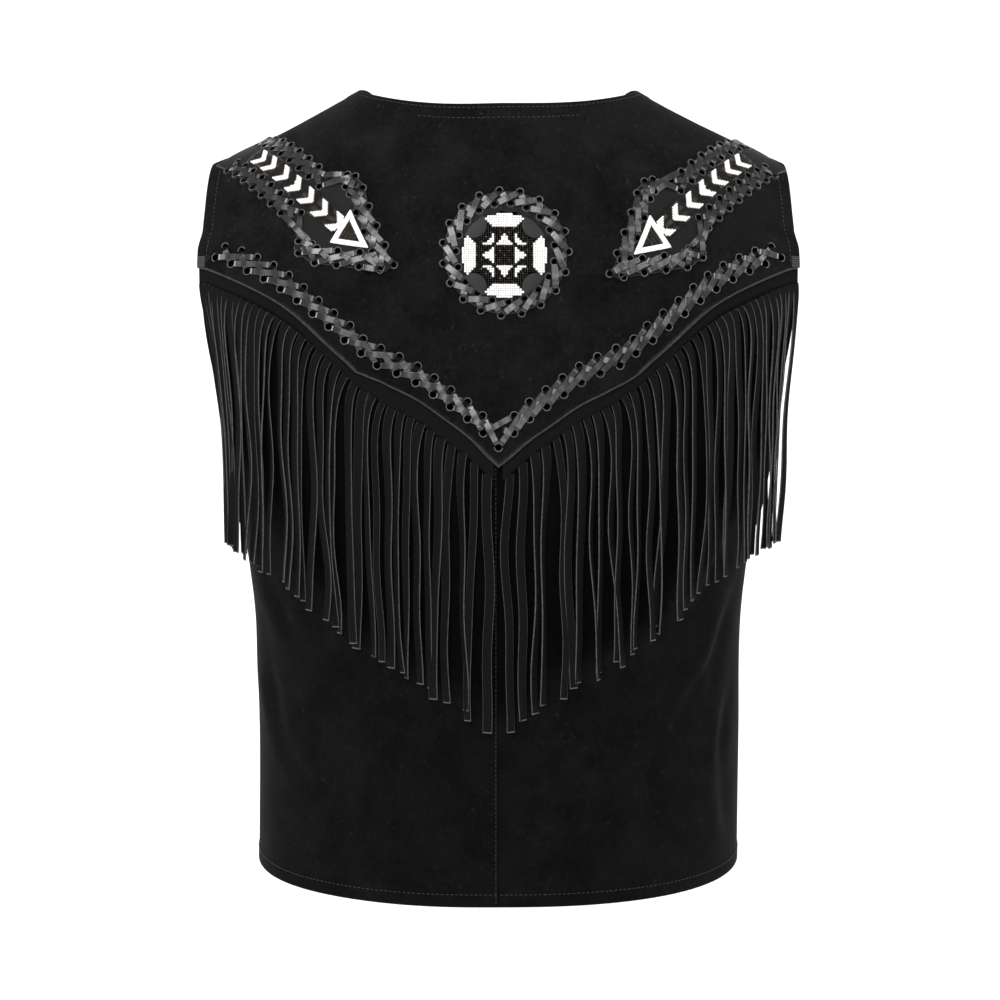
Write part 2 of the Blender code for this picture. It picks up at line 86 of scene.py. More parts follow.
# Curves through tables


def smooth_value(table: Table, where: Array | float, column: int = 1) -> Array:
    """Values of a table's column between its rows, on a smooth curve through them.

    Args:
        table: Rows whose first column is the place.
        where: Places to look up.
        column: Column to read.

    Returns:
        The values, in the shape of where.
    """
    grid = np.asarray(table, dtype=float)
    places = grid[:, 0]
    values = grid[:, column]
    slopes = np.gradient(values, places)
    slopes[1:-1] = (values[2:] - values[:-2]) / (places[2:] - places[:-2])
    held = np.clip(np.asarray(where, dtype=float), places[0], places[-1])
    row = np.clip(np.searchsorted(places, held, side="right") - 1, 0, len(places) - 2)
    span = places[row + 1] - places[row]
    t = (held - places[row]) / span
    result = (2.0 * t**3 - 3.0 * t**2 + 1.0) * values[row]
    result = result + (t**3 - 2.0 * t**2 + t) * span * slopes[row]
    result = result + (3.0 * t**2 - 2.0 * t**3) * values[row + 1]
    return result + (t**3 - t**2) * span * slopes[row + 1]


def between(table: Table, where: Array | float) -> Array:
    """Values of a table's second column on straight lines between its rows."""
    return np.interp(where, [row[0] for row in table], [row[1] for row in table])


def ease(low: float, high: float, where: Array | float) -> Array:
    """Smooth step from 0 at low to 1 at high.

    Args:
        low: Where the step starts.
        high: Where it ends; may be below low.
        where: Places to look up.

    Returns:
        The step's values.
    """
    t = np.clip((np.asarray(where, dtype=float) - low) / (high - low), 0.0, 1.0)
    return t * t * (3.0 - 2.0 * t)


def unit(vectors: Array) -> Array:
    """Vectors scaled to length one."""
    return vectors / np.maximum(np.linalg.norm(vectors, axis=-1, keepdims=True), 1e-12)


def gone_along(line: Array) -> Array:
    """Distance gone along a line at each of its points."""
    return np.concatenate([[0.0], np.cumsum(np.linalg.norm(np.diff(line, axis=0), axis=1))])


def at_distance(goal: float, gone: Array, values: Array) -> Array:
    """Values of each column where a distance along a line is reached."""
    return np.array([np.interp(goal, gone, column) for column in values.T])


# The figure that every panel follows

SUEDE = 1.3 * MM


@dataclass(frozen=True)
class Figure:
    """The filled-out torso whose surface is the outer face of a single layer of suede."""

    arch_foot_z: float = -0.170
    armhole_foot_z: float = -0.300
    hem_z: float = -0.560
    ring_power: float = 2.3
    shoulder_edge: float = math.radians(57.0)
    neck_half_width: float = 0.1040
    neck_point_z: float = 0.028
    crown_z: float = 0.057
    shoulder_slope: float = 0.558
    shoulder_ease: float = 0.614
    neck_share: float = 0.375
    neck_level: float = -0.632
    front_edge_x: float = 0.012
    v_neck_foot: float = 0.36
    v_neck_bow: float = 1.15
    # Columns: level, half width
    half_widths: Table = (
        (-1.00, 0.2482), (-0.60, 0.2506), (-0.28, 0.2527), (0.000, 0.2430), (0.128, 0.2300), (0.231, 0.2125),
        (0.333, 0.1955), (0.438, 0.1890), (0.540, 0.1862), (0.720, 0.1860), (1.000, 0.1870)
    )
    # Columns: level, depth of the back, depth of the front
    depths: Table = (
        (-1.00, 0.118, 0.104), (-0.50, 0.120, 0.108), (0.000, 0.122, 0.112), (0.200, 0.130, 0.122),
        (0.460, 0.129, 0.119), (0.720, 0.129, 0.119), (1.000, 0.134, 0.126)
    )
    # Columns: share of the way round from the centre back, level of the yoke's V edge
    yoke_edge: Table = (
        (0.00, 0.165), (0.06, 0.121), (0.12, 0.091), (0.19, 0.058), (0.31, 0.017), (0.445, -0.060),
        (0.60, -0.170), (0.73, -0.236), (0.91, -0.308), (1.00, -0.333)
    )

    @property
    def armhole_foot(self) -> float:
        """Level of the armhole's foot."""
        return (self.armhole_foot_z - self.arch_foot_z) / (self.hem_z - self.arch_foot_z)

    def shoulder_z(self, x: Array) -> Array:
        """Height of the shoulder line above places across the body."""
        across = np.abs(x)
        crown = self.crown_z - (self.crown_z - self.neck_point_z) * (across / self.neck_half_width) ** 2
        beyond = across - self.neck_half_width
        slope = self.neck_point_z - self.shoulder_slope * beyond + self.shoulder_ease * beyond**2
        return np.where(across < self.neck_half_width, crown, slope)

    def edge_azimuth(self, level: Array) -> Array:
        """How far round the ring the armhole edge lies, or the side seam below it."""
        level = np.asarray(level, dtype=float)
        drop = level * (self.hem_z - self.arch_foot_z) / (self.armhole_foot_z - self.arch_foot_z)
        oval = np.sqrt(np.clip(1.0 - drop**2, 0.0, 1.0))
        turn = np.arccos(math.cos(self.shoulder_edge) * oval ** (self.ring_power / 2.0))
        turn = np.where(drop >= 1.0, math.pi / 2.0, turn)
        return np.where(level <= 0.0, self.shoulder_edge, turn)

    def at(self, azimuth: Array, level: Array, side: Side) -> Array:
        """Points of the figure.

        Args:
            azimuth: Angles from the centre line.
            level: -1 at the shoulder seam, 0 at the foot of the arch, 1 at the hem.
            side: Back or front.

        Returns:
            Points, with X, Y and Z last.
        """
        azimuth, level = np.broadcast_arrays(np.asarray(azimuth, float), np.asarray(level, float))
        sine = np.sin(azimuth)
        cosine = np.maximum(np.cos(azimuth), 0.0)
        power = 2.0 / self.ring_power
        x = smooth_value(self.half_widths, level) * np.sign(sine) * np.abs(sine) ** power
        column = 1 if side is Side.BACK else 2
        depth = smooth_value(self.depths, level, column) * cosine**power
        turn = math.pi / 2.0 * (1.0 + np.minimum(level, 0.0))
        arch_z = self.arch_foot_z + (self.shoulder_z(x) - self.arch_foot_z) * np.cos(turn)
        tube_z = self.arch_foot_z + (self.hem_z - self.arch_foot_z) * level
        y = side.value * depth * np.sin(turn)
        return np.stack([x, y, np.where(level >= 0.0, tube_z, arch_z)], axis=-1)

    def normal(self, azimuth: Array, level: Array, side: Side) -> Array:
        """Outward directions of the figure."""
        step = 1e-3
        around = self.at(azimuth + step, level, side) - self.at(azimuth - step, level, side)
        down = self.at(azimuth, np.minimum(level + step, 1.0), side)
        down = down - self.at(azimuth, np.maximum(level - step, -1.0), side)
        return unit(np.cross(around, down)) * (1.0 if side is Side.FRONT else -1.0)

    def surface(self, share: Array, level: Array, side: Side = Side.BACK) -> tuple[Array, Array]:
        """Points and outward directions at shares of the way round and levels."""
        share, level = np.broadcast_arrays(np.asarray(share, float), np.asarray(level, float))
        azimuth = self.edge_azimuth(level) * share
        return self.at(azimuth, level, side), self.normal(azimuth, level, side)

    def lowered(self, share: Array, level: Array, distance: float) -> Array:
        """Levels reached by going down the cloth of the back by a distance."""
        step = 1e-3
        here = self.surface(share, level)[0]
        below = self.surface(share, level + step)[0]
        return level + distance * step / np.linalg.norm(below - here, axis=-1)

    def yoke_level(self, share: Array) -> Array:
        """Levels of the yoke's V edge."""
        return smooth_value(self.yoke_edge, np.abs(share))

    def neck_edge(self, share: Array) -> Array:
        """Levels of the yoke's upper edge: the back neckline, then the shoulder seam."""
        across = np.clip(np.abs(share) / self.neck_share, 0.0, 1.0)
        return -1.0 + (self.neck_level + 1.0) * np.sqrt(1.0 - across**2)

    def front_start(self, level: Array) -> Array:
        """Shares at which the fronts start, down the V neck and the straight edge."""
        way = np.clip((level + 1.0) / (self.v_neck_foot + 1.0), 0.0, 1.0)
        neck_x = float(self.at(self.shoulder_edge * self.neck_share, -1.0, Side.FRONT)[0])
        inner_x = self.front_edge_x + (neck_x - self.front_edge_x) * (1.0 - way**self.v_neck_bow)
        ratio = inner_x / smooth_value(self.half_widths, level)
        return np.arcsin(ratio ** (self.ring_power / 2.0)) / self.edge_azimuth(level)

    def back_depth(self, x: Array, z: Array) -> Array:
        """How far back the tube reaches at places across and heights."""
        level = np.clip((z - self.arch_foot_z) / (self.hem_z - self.arch_foot_z), 0.0, 1.0)
        ratio = np.clip(np.abs(x) / smooth_value(self.half_widths, level), 0.0, 1.0)
        return smooth_value(self.depths, level) * (1.0 - ratio**self.ring_power) ** (1.0 / self.ring_power)


FIGURE = Figure()


@dataclass(frozen=True)
class Crease:
    """A soft trough beside a ridge, pressed in by wear and folding. Sizes in millimetres."""

    x: float
    z: float
    lean: float
    length: float
    width: float
    depth: float

    def rise(self, points: Array) -> Array:
        """How far the crease lifts or sinks the cloth at points, in metres."""
        turn = math.radians(self.lean)
        dx = points[..., 0] / MM - self.x
        dz = points[..., 2] / MM - self.z
        along = dx * math.cos(turn) + dz * math.sin(turn)
        across = dz * math.cos(turn) - dx * math.sin(turn) + 0.06 * along * np.sin(along / self.length)
        reach = np.exp(-((along / self.length) ** 2))
        trough = np.exp(-((across / self.width) ** 2))
        ridge = np.exp(-(((across - 1.9 * self.width) / (1.2 * self.width)) ** 2))
        return 1.7 * self.depth * MM * reach * (0.7 * ridge - trough)


@dataclass(frozen=True)
class Drape:
    """The creases and slow waves that every layer of the cloth shares."""

    # Columns: x, z, lean in degrees, half length, half width, depth
    back_creases: Table = (
        (158, -318, 62, 26, 5, 1.5), (166, -372, 74, 34, 5.5, 1.8), (148, -402, 58, 24, 5, 1.2),
        (169, -446, 84, 30, 4.5, 1.5), (132, -352, 36, 30, 6.5, 1.1), (171, -502, 96, 24, 5, 1.2),
        (-160, -352, 116, 30, 5.5, 1.3), (-168, -420, 100, 34, 5, 1.5), (-150, -468, 128, 22, 5.5, 0.9),
        (-118, -512, 150, 30, 8, 0.9), (70, -505, 24, 34, 9, 0.9), (-44, -470, 168, 30, 9, 0.7)
    )
    front_creases: Table = (
        (150, -322, 56, 30, 6, 1.7), (162, -390, 76, 30, 5.5, 1.5), (128, -368, 34, 34, 7.5, 1.2),
        (100, -120, 118, 36, 8, 1.2), (-152, -330, 122, 30, 6, 1.6), (-163, -402, 102, 32, 5.5, 1.4),
        (-124, -380, 146, 34, 7.5, 1.1), (-104, -128, 62, 38, 8, 1.1), (70, -470, 20, 34, 9, 0.9),
        (-66, -455, 160, 30, 9, 0.9)
    )
    wave: float = 0.55 * MM

    def rise(self, points: Array, side: Side) -> Array:
        """How far the drape lifts the cloth at points, in metres."""
        table = self.back_creases if side is Side.BACK else self.front_creases
        total = np.zeros(points.shape[:-1])
        for row in table:
            total = total + Crease(*row).rise(points)
        x = points[..., 0] / MM
        z = points[..., 2] / MM
        slow = np.sin(x / 23.0 + 0.9 * np.sin(z / 47.0)) * np.sin(z / 38.0 + 1.3 + 0.8 * np.sin(x / 61.0))
        return total + self.wave * slow


DRAPE = Drape()


# Meshes


def mesh_from(
    name: str, points: Array, faces: Sequence[Sequence[int]], edges: Sequence[Sequence[int]] = (),
    numbers: dict[str, Array] | None = None, vectors: dict[str, Array] | None = None,
    marks: Sequence[int] | None = None
) -> Mesh:
    """A mesh with attributes on its points.

    Args:
        name: Name of the mesh.
        points: Points, one a row.
        faces: Point indices of each face.
        edges: Point indices of loose edges.
        numbers: One number a point, by attribute name.
        vectors: One vector a point, by attribute name.
        marks: Number of each face's material.

    Returns:
        The mesh.
    """
    mesh = bpy.data.meshes.new(name)
    mesh.from_pydata(np.asarray(points, float).tolist(), list(edges), [list(face) for face in faces])
    for key, values in (numbers or {}).items():
        layer = mesh.attributes.new(key, "FLOAT", "POINT")
        layer.data.foreach_set("value", np.asarray(values, np.float32).ravel())
    for key, values in (vectors or {}).items():
        layer = mesh.attributes.new(key, "FLOAT_VECTOR", "POINT")
        layer.data.foreach_set("vector", np.asarray(values, np.float32).ravel())
    if marks is not None:
        mesh.polygons.foreach_set("material_index", list(marks))
    mesh.update()
    return mesh


def link(name: str, data: bpy.types.ID) -> Object:
    """Put an object with its data into the scene."""
    made = bpy.data.objects.new(name, data)
    bpy.context.scene.collection.objects.link(made)
    return made


def show(name: str, mesh: Mesh, finishes: Sequence[Material] = (), crisp: float | None = None) -> Object:
    """Link a mesh as an object at the origin, shaded smooth.

    Args:
        name: Name of the object.
        mesh: Its mesh.
        finishes: Materials to give it, where it has none.
        crisp: Angle in degrees past which an edge stays sharp.

    Returns:
        The object.
    """
    for finish in finishes:
        mesh.materials.append(finish)
    mesh.shade_smooth()
    if crisp is not None:
        mesh.set_sharp_from_angle(angle=math.radians(crisp))
    mesh.name = name
    return link(name, mesh)


def joined(name: str, pieces: Sequence[Object]) -> Object:
    """Join pieces into one object.

    Args:
        name: Name of the result.
        pieces: Objects to join; the first one stays.

    Returns:
        The joined object.
    """
    if len(pieces) > 1:
        with bpy.context.temp_override(active_object=pieces[0], selected_editable_objects=list(pieces)):
            bpy.ops.object.join()
    pieces[0].name = name
    pieces[0].data.name = name
    return pieces[0]


def grid_faces(rows: int, columns: int, start: int = 0, flip: bool = False) -> list[tuple[int, ...]]:
    """Quads of a grid of points."""
    faces = []
    for i in range(rows - 1):
        for j in range(columns - 1):
            a = start + i * columns + j
            quad = (a, a + 1, a + columns + 1, a + columns)
            faces.append(quad[::-1] if flip else quad)
    return faces


def rim_faces(rows: int, columns: int, under: int, flip: bool) -> list[tuple[int, ...]]:
    """Quads that close the border between two equal grids of points."""
    ring = list(range(columns))
    ring += [i * columns + columns - 1 for i in range(1, rows)]
    ring += [(rows - 1) * columns + j for j in range(columns - 2, -1, -1)]
    ring += [i * columns for i in range(rows - 2, 0, -1)]
    faces = []
    for a, b in zip(ring, ring[1:] + ring[:1]):
        quad = (b, a, a + under, b + under)
        faces.append(quad[::-1] if flip else quad)
    return faces


def slab_faces(rows: int, columns: int, flip: bool) -> list[tuple[int, ...]]:
    """Quads of a closed slab: an upper grid of points, a lower one after it, and the border."""
    under = rows * columns
    faces = grid_faces(rows, columns, 0, flip) + grid_faces(rows, columns, under, not flip)
    return faces + rim_faces(rows, columns, under, flip)


def dense(line: Array, times: int = 12) -> Array:
    """A line of points with more points between them."""
    parts = np.linspace(0.0, 1.0, times, endpoint=False)
    spread = line[:-1, None, :] * (1.0 - parts[None, :, None]) + line[1:, None, :] * parts[None, :, None]
    return np.vstack([spread.reshape(-1, 3), line[-1:]])


def distance_to(points: Array, line: Array) -> Array:
    """Distances from a grid of points to a line of points."""
    tree = KDTree(len(line))
    for index, spot in enumerate(line):
        tree.insert(spot, index)
    tree.balance()
    flat = points.reshape(-1, 3)
    return np.array([tree.find(spot)[2] for spot in flat]).reshape(points.shape[:-1])


@dataclass
class Track:
    """A path on the cloth, with the way that a band or stitch on it faces."""

    places: Array
    facing: Array
    girth: Array | None = None

    def squared(self) -> "Track":
        """The same track with its facing made square to the path."""
        along = unit(np.gradient(self.places, axis=0))
        facing = self.facing - along * np.sum(self.facing * along, axis=1, keepdims=True)
        return Track(self.places, unit(facing), self.girth)


def tracks_mesh(name: str, tracks: Sequence[Track]) -> Mesh:
    """A mesh of loose edges along tracks, for a tree of nodes to build on."""
    places = np.vstack([track.places for track in tracks])
    facing = np.vstack([track.facing for track in tracks])
    girths = [np.ones(len(t.places)) if t.girth is None else t.girth for t in tracks]
    edges = []
    start = 0
    for track in tracks:
        count = len(track.places)
        edges += [(start + k, start + k + 1) for k in range(count - 1)]
        start += count
    return mesh_from(name, places, [], edges, {"girth": np.concatenate(girths)}, {"facing": facing})


def declare(piece: Object, slot: str, *nodes: str) -> None:
    """Attach a piece to the body, hide the nodes that it stands for, if any, and log its faces."""
    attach(piece, BODY)
    if nodes:
        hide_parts(*nodes)
    LOG.info("%s: %d faces", piece.name, len(piece.data.polygons))


# Nodes


def linear(colour: str) -> tuple[float, float, float, float]:
    """Linear RGBA of an sRGB hex colour."""
    parts = [int(colour[k : k + 2], 16) / 255.0 for k in (1, 3, 5)]
    made = [c / 12.92 if c <= 0.04045 else ((c + 0.055) / 1.055) ** 2.4 for c in parts]
    return (*made, 1.0)


def fill_inputs(tree: NodeTree, node: Node, inputs: dict[int | str, object]) -> None:
    """Give a node's inputs their values and links; a node among them stands for its first output."""
    for key, value in inputs.items():
        source = value.outputs[0] if isinstance(value, Node) else value
        if isinstance(source, NodeSocket):
            tree.links.new(source, node.inputs[key])
        else:
            node.inputs[key].default_value = source


def add_node(
    tree: NodeTree, kind: str, settings: dict[str, object] | None = None,
    inputs: dict[int | str, object] | None = None
) -> Node:
    """Add a node with its settings, values and links.

    Args:
        tree: Tree that the node joins.
        kind: The node's type.
        settings: Properties to set on it.
        inputs: Values, nodes or sockets for its inputs, by name or number.

    Returns:
        The node.
    """
    node = tree.nodes.new(kind)
    for key, value in (settings or {}).items():
        setattr(node, key, value)
    fill_inputs(tree, node, inputs or {})
    return node


def new_tree(
    name: str, numbers: Sequence[str], materials: Sequence[str], ways: Sequence[str] = ()
) -> tuple[NodeTree, dict[str, NodeSocket]]:
    """A tree of geometry nodes with its inputs.

    Args:
        name: Name of the tree.
        numbers: Names of its number inputs, which come after a geometry input named Source.
        materials: Names of its material inputs.
        ways: Names of its vector inputs.

    Returns:
        The tree and what it is given, by name.
    """
    tree = bpy.data.node_groups.new(name, "GeometryNodeTree")
    sockets = {"Source": "Geometry"} | dict.fromkeys(numbers, "Float") | dict.fromkeys(ways, "Vector")
    sockets |= dict.fromkeys(materials, "Material")
    for key, kind in sockets.items():
        tree.interface.new_socket(name=key, in_out="INPUT", socket_type=f"NodeSocket{kind}")
    tree.interface.new_socket(name="Result", in_out="OUTPUT", socket_type="NodeSocketGeometry")
    given = add_node(tree, "NodeGroupInput")
    return tree, {key: given.outputs[key] for key in sockets}


def end_tree(tree: NodeTree, geometry: Node, finish: NodeSocket | None = None) -> NodeTree:
    """Make a geometry real, give it a finish where it has none yet, and join it to the tree's output."""
    result = add_node(tree, "GeometryNodeRealizeInstances", inputs={0: geometry})
    if finish is not None:
        result = add_node(tree, "GeometryNodeSetMaterial", inputs={0: result, "Material": finish})
    add_node(tree, "NodeGroupOutput", inputs={"Result": result})
    return tree


def turned_to(tree: NodeTree, axis: str, way: Wired, second: str, near: Wired) -> Node:
    """A rotation with one axis along a way, and a second axis as near as it can be to another way."""
    kind = "FunctionNodeAlignRotationToVector"
    first = add_node(tree, kind, {"axis": axis}, {"Vector": way})
    return add_node(tree, kind, {"axis": second, "pivot_axis": axis}, {"Rotation": first, "Vector": near})


def grown(
    name: str, tree: NodeTree, source: Mesh, values: dict[str, object], crisp: float | None = None
) -> Object:
    """Run a tree on a mesh and keep the result as a plain mesh.

    Args:
        name: Name of the result.
        tree: Tree to run.
        source: Mesh that it runs on.
        values: Values of its named inputs.
        crisp: Angle in degrees past which an edge stays sharp.

    Returns:
        An object with the result.
    """
    carrier = link(f"{name}_source", source)
    modifier = carrier.modifiers.new("grow", "NODES")
    modifier.node_group = tree
    for item in tree.interface.items_tree:
        if item.item_type == "SOCKET" and item.in_out == "INPUT" and item.name in values:
            modifier[item.identifier] = values[item.name]
    graph = bpy.context.evaluated_depsgraph_get()
    made = bpy.data.meshes.new_from_object(carrier.evaluated_get(graph))
    bpy.data.objects.remove(carrier, do_unlink=True)
    return show(name, made, crisp=crisp)


class Growers:
    """The trees of geometry nodes that make what repeats or follows a path."""

    named = "GeometryNodeInputNamedAttribute"
    place_on = "GeometryNodeInstanceOnPoints"
    product = {"operation": "MULTIPLY"}

    def __init__(self) -> None:
        """Build every tree."""
        self.band = self._band()
        self.stitch = self._stitch()
        self.bead = self._bead()
        self.hole = self._hole()

    def _band(self) -> NodeTree:
        """Flat bands along tracks, for laces and strands."""
        tree, given = new_tree("band_along_tracks", ("Width", "Thickness"), ("Finish",))
        facing = add_node(tree, self.named, {"data_type": "FLOAT_VECTOR"}, {"Name": "facing"})
        girth = add_node(tree, self.named, {"data_type": "FLOAT"}, {"Name": "girth"})
        line = add_node(tree, "GeometryNodeMeshToCurve", inputs={"Mesh": given["Source"]})
        upright = {"Curve": line, "Normal": facing}
        line = add_node(tree, "GeometryNodeSetCurveNormal", {"mode": "FREE"}, upright)
        profile = add_node(
            tree, "GeometryNodeCurvePrimitiveQuadrilateral", {"mode": "RECTANGLE"},
            {"Width": given["Thickness"], "Height": given["Width"]}
        )
        corner = add_node(tree, "ShaderNodeMath", self.product, {0: given["Thickness"], 1: 0.34})
        rounded = {"Curve": profile, "Count": 1, "Radius": corner}
        profile = add_node(tree, "GeometryNodeFilletCurve", {"mode": "POLY"}, rounded)
        place = add_node(tree, "GeometryNodeInputPosition")
        split = add_node(tree, "ShaderNodeSeparateXYZ", inputs={0: place})
        half = add_node(tree, "ShaderNodeMath", self.product, {0: given["Width"], 1: 0.5})
        across = add_node(tree, "ShaderNodeMath", {"operation": "DIVIDE"}, {0: split.outputs[1], 1: half})
        profile = add_node(
            tree, "GeometryNodeStoreNamedAttribute", {"data_type": "FLOAT", "domain": "POINT"},
            {"Geometry": profile, "Name": "across", "Value": across}
        )
        sweep = {"Curve": line, "Profile Curve": profile, "Scale": girth, "Fill Caps": True}
        swept = add_node(tree, "GeometryNodeCurveToMesh", inputs=sweep)
        return end_tree(tree, swept, given["Finish"])

    def _stitch(self) -> NodeTree:
        """Rows of stitches along tracks."""
        tree, given = new_tree("stitches_along_tracks", ("Pitch", "Length", "Girth"), ("Finish",))
        facing = add_node(tree, self.named, {"data_type": "FLOAT_VECTOR"}, {"Name": "facing"})
        line = add_node(tree, "GeometryNodeMeshToCurve", inputs={"Mesh": given["Source"]})
        spacing = {"Curve": line, "Length": given["Pitch"]}
        line = add_node(tree, "GeometryNodeResampleCurve", {"mode": "LENGTH"}, spacing)
        turn = turned_to(tree, "X", add_node(tree, "GeometryNodeInputTangent"), "Z", facing)
        thread = add_node(tree, "GeometryNodeMeshUVSphere", inputs={"Segments": 6, "Rings": 5, "Radius": 0.5})
        sizes = {0: given["Length"], 1: given["Girth"], 2: given["Girth"]}
        size = add_node(tree, "ShaderNodeCombineXYZ", inputs=sizes)
        limits = {2: 0.9, 3: 1.08, "Seed": 7}
        uneven = add_node(tree, "FunctionNodeRandomValue", {"data_type": "FLOAT"}, limits)
        scale = {0: size, "Scale": uneven.outputs[1]}
        scaled = add_node(tree, "ShaderNodeVectorMath", {"operation": "SCALE"}, scale)
        places = {"Points": line, "Instance": thread, "Rotation": turn, "Scale": scaled}
        return end_tree(tree, add_node(tree, self.place_on, inputs=places), given["Finish"])

    def _bead(self) -> NodeTree:
        """Seed beads on points, each lying along its row."""
        tree, given = new_tree("beads_on_points", ("Pitch",), ("Finish",), ("Row",))
        facing = add_node(tree, self.named, {"data_type": "FLOAT_VECTOR"}, {"Name": "facing"})
        turn = turned_to(tree, "Z", facing, "X", given["Row"])
        bead = add_node(tree, "GeometryNodeMeshUVSphere", inputs={"Segments": 8, "Rings": 5, "Radius": 0.5})
        limits = {0: (1.10, 1.12, 0.82), 1: (1.18, 1.20, 0.96), "Seed": 11}
        shape = add_node(tree, "FunctionNodeRandomValue", {"data_type": "FLOAT_VECTOR"}, limits)
        scale = {0: shape, "Scale": given["Pitch"]}
        scaled = add_node(tree, "ShaderNodeVectorMath", {"operation": "SCALE"}, scale)
        places = {"Points": given["Source"], "Instance": bead, "Rotation": turn, "Scale": scaled}
        return end_tree(tree, add_node(tree, self.place_on, inputs=places), given["Finish"])

    def _hole(self) -> NodeTree:
        """Punched holes on points: a cut lip of leather, paler partly as painted highlight, round the far
        side of a disc of painted shade for the hole.
        """
        tree, given = new_tree("punched_holes", ("Radius", "Reach", "Lip"), ("Finish", "Shade"))
        facing = add_node(tree, self.named, {"data_type": "FLOAT_VECTOR"}, {"Name": "facing"})
        away = add_node(tree, self.named, {"data_type": "FLOAT_VECTOR"}, {"Name": "away"})
        turn = turned_to(tree, "Z", facing, "X", away)
        arc = {"Start Angle": math.radians(-88.0), "Sweep Angle": math.radians(176.0)}
        arc |= {"Resolution": 13, "Radius": given["Reach"]}
        ring = add_node(tree, "GeometryNodeCurveArc", {"mode": "RADIUS"}, arc)
        circle = {"Resolution": 6, "Radius": given["Lip"]}
        profile = add_node(tree, "GeometryNodeCurvePrimitiveCircle", {"mode": "RADIUS"}, circle)
        sweep = {"Curve": ring, "Profile Curve": profile, "Fill Caps": True}
        lip = add_node(tree, "GeometryNodeCurveToMesh", inputs=sweep)
        # The hole's inside: a disc of painted shade
        disc = {"Vertices": 16, "Radius": given["Radius"]}
        dark = add_node(tree, "GeometryNodeMeshCircle", {"fill_type": "TRIANGLE_FAN"}, disc)
        both = add_node(tree, "GeometryNodeJoinGeometry")
        for shape, finish in ((lip, given["Finish"]), (dark, given["Shade"])):
            shown = add_node(tree, "GeometryNodeSetMaterial", inputs={0: shape, "Material": finish})
            fill_inputs(tree, both, {0: shown})
        places = {"Points": given["Source"], "Instance": both, "Rotation": turn}
        return end_tree(tree, add_node(tree, self.place_on, inputs=places))


# Finishes


@dataclass(frozen=True)
class Finish:
    """What every finish shares: a material of its own name, shaded by its nodes."""

    name: str

    def shade(self, tree: NodeTree, where: NodeSocket) -> dict[str, object]:
        """Add the finish's nodes, and say what goes into the shader.

        Args:
            tree: The material's tree.
            where: Object coordinates.

        Returns:
            The shader's inputs by name.
        """
        raise NotImplementedError

    def make(self) -> Material:
        """Build the material."""
        material = bpy.data.materials.new(self.name)
        material.use_nodes = True
        tree = material.node_tree
        where = add_node(tree, "ShaderNodeTexCoord").outputs["Object"]
        fill_inputs(tree, tree.nodes["Principled BSDF"], self.shade(tree, where))
        return material

    def blend(self, tree: NodeTree, share: Wired, low: object, high: object) -> NodeSocket:
        """A colour between two others, which are hex colours or sockets."""
        ends = [linear(end) if isinstance(end, str) else end for end in (low, high)]
        mix = add_node(tree, "ShaderNodeMix", {"data_type": "RGBA"}, {0: share, 6: ends[0], 7: ends[1]})
        return mix.outputs[2]


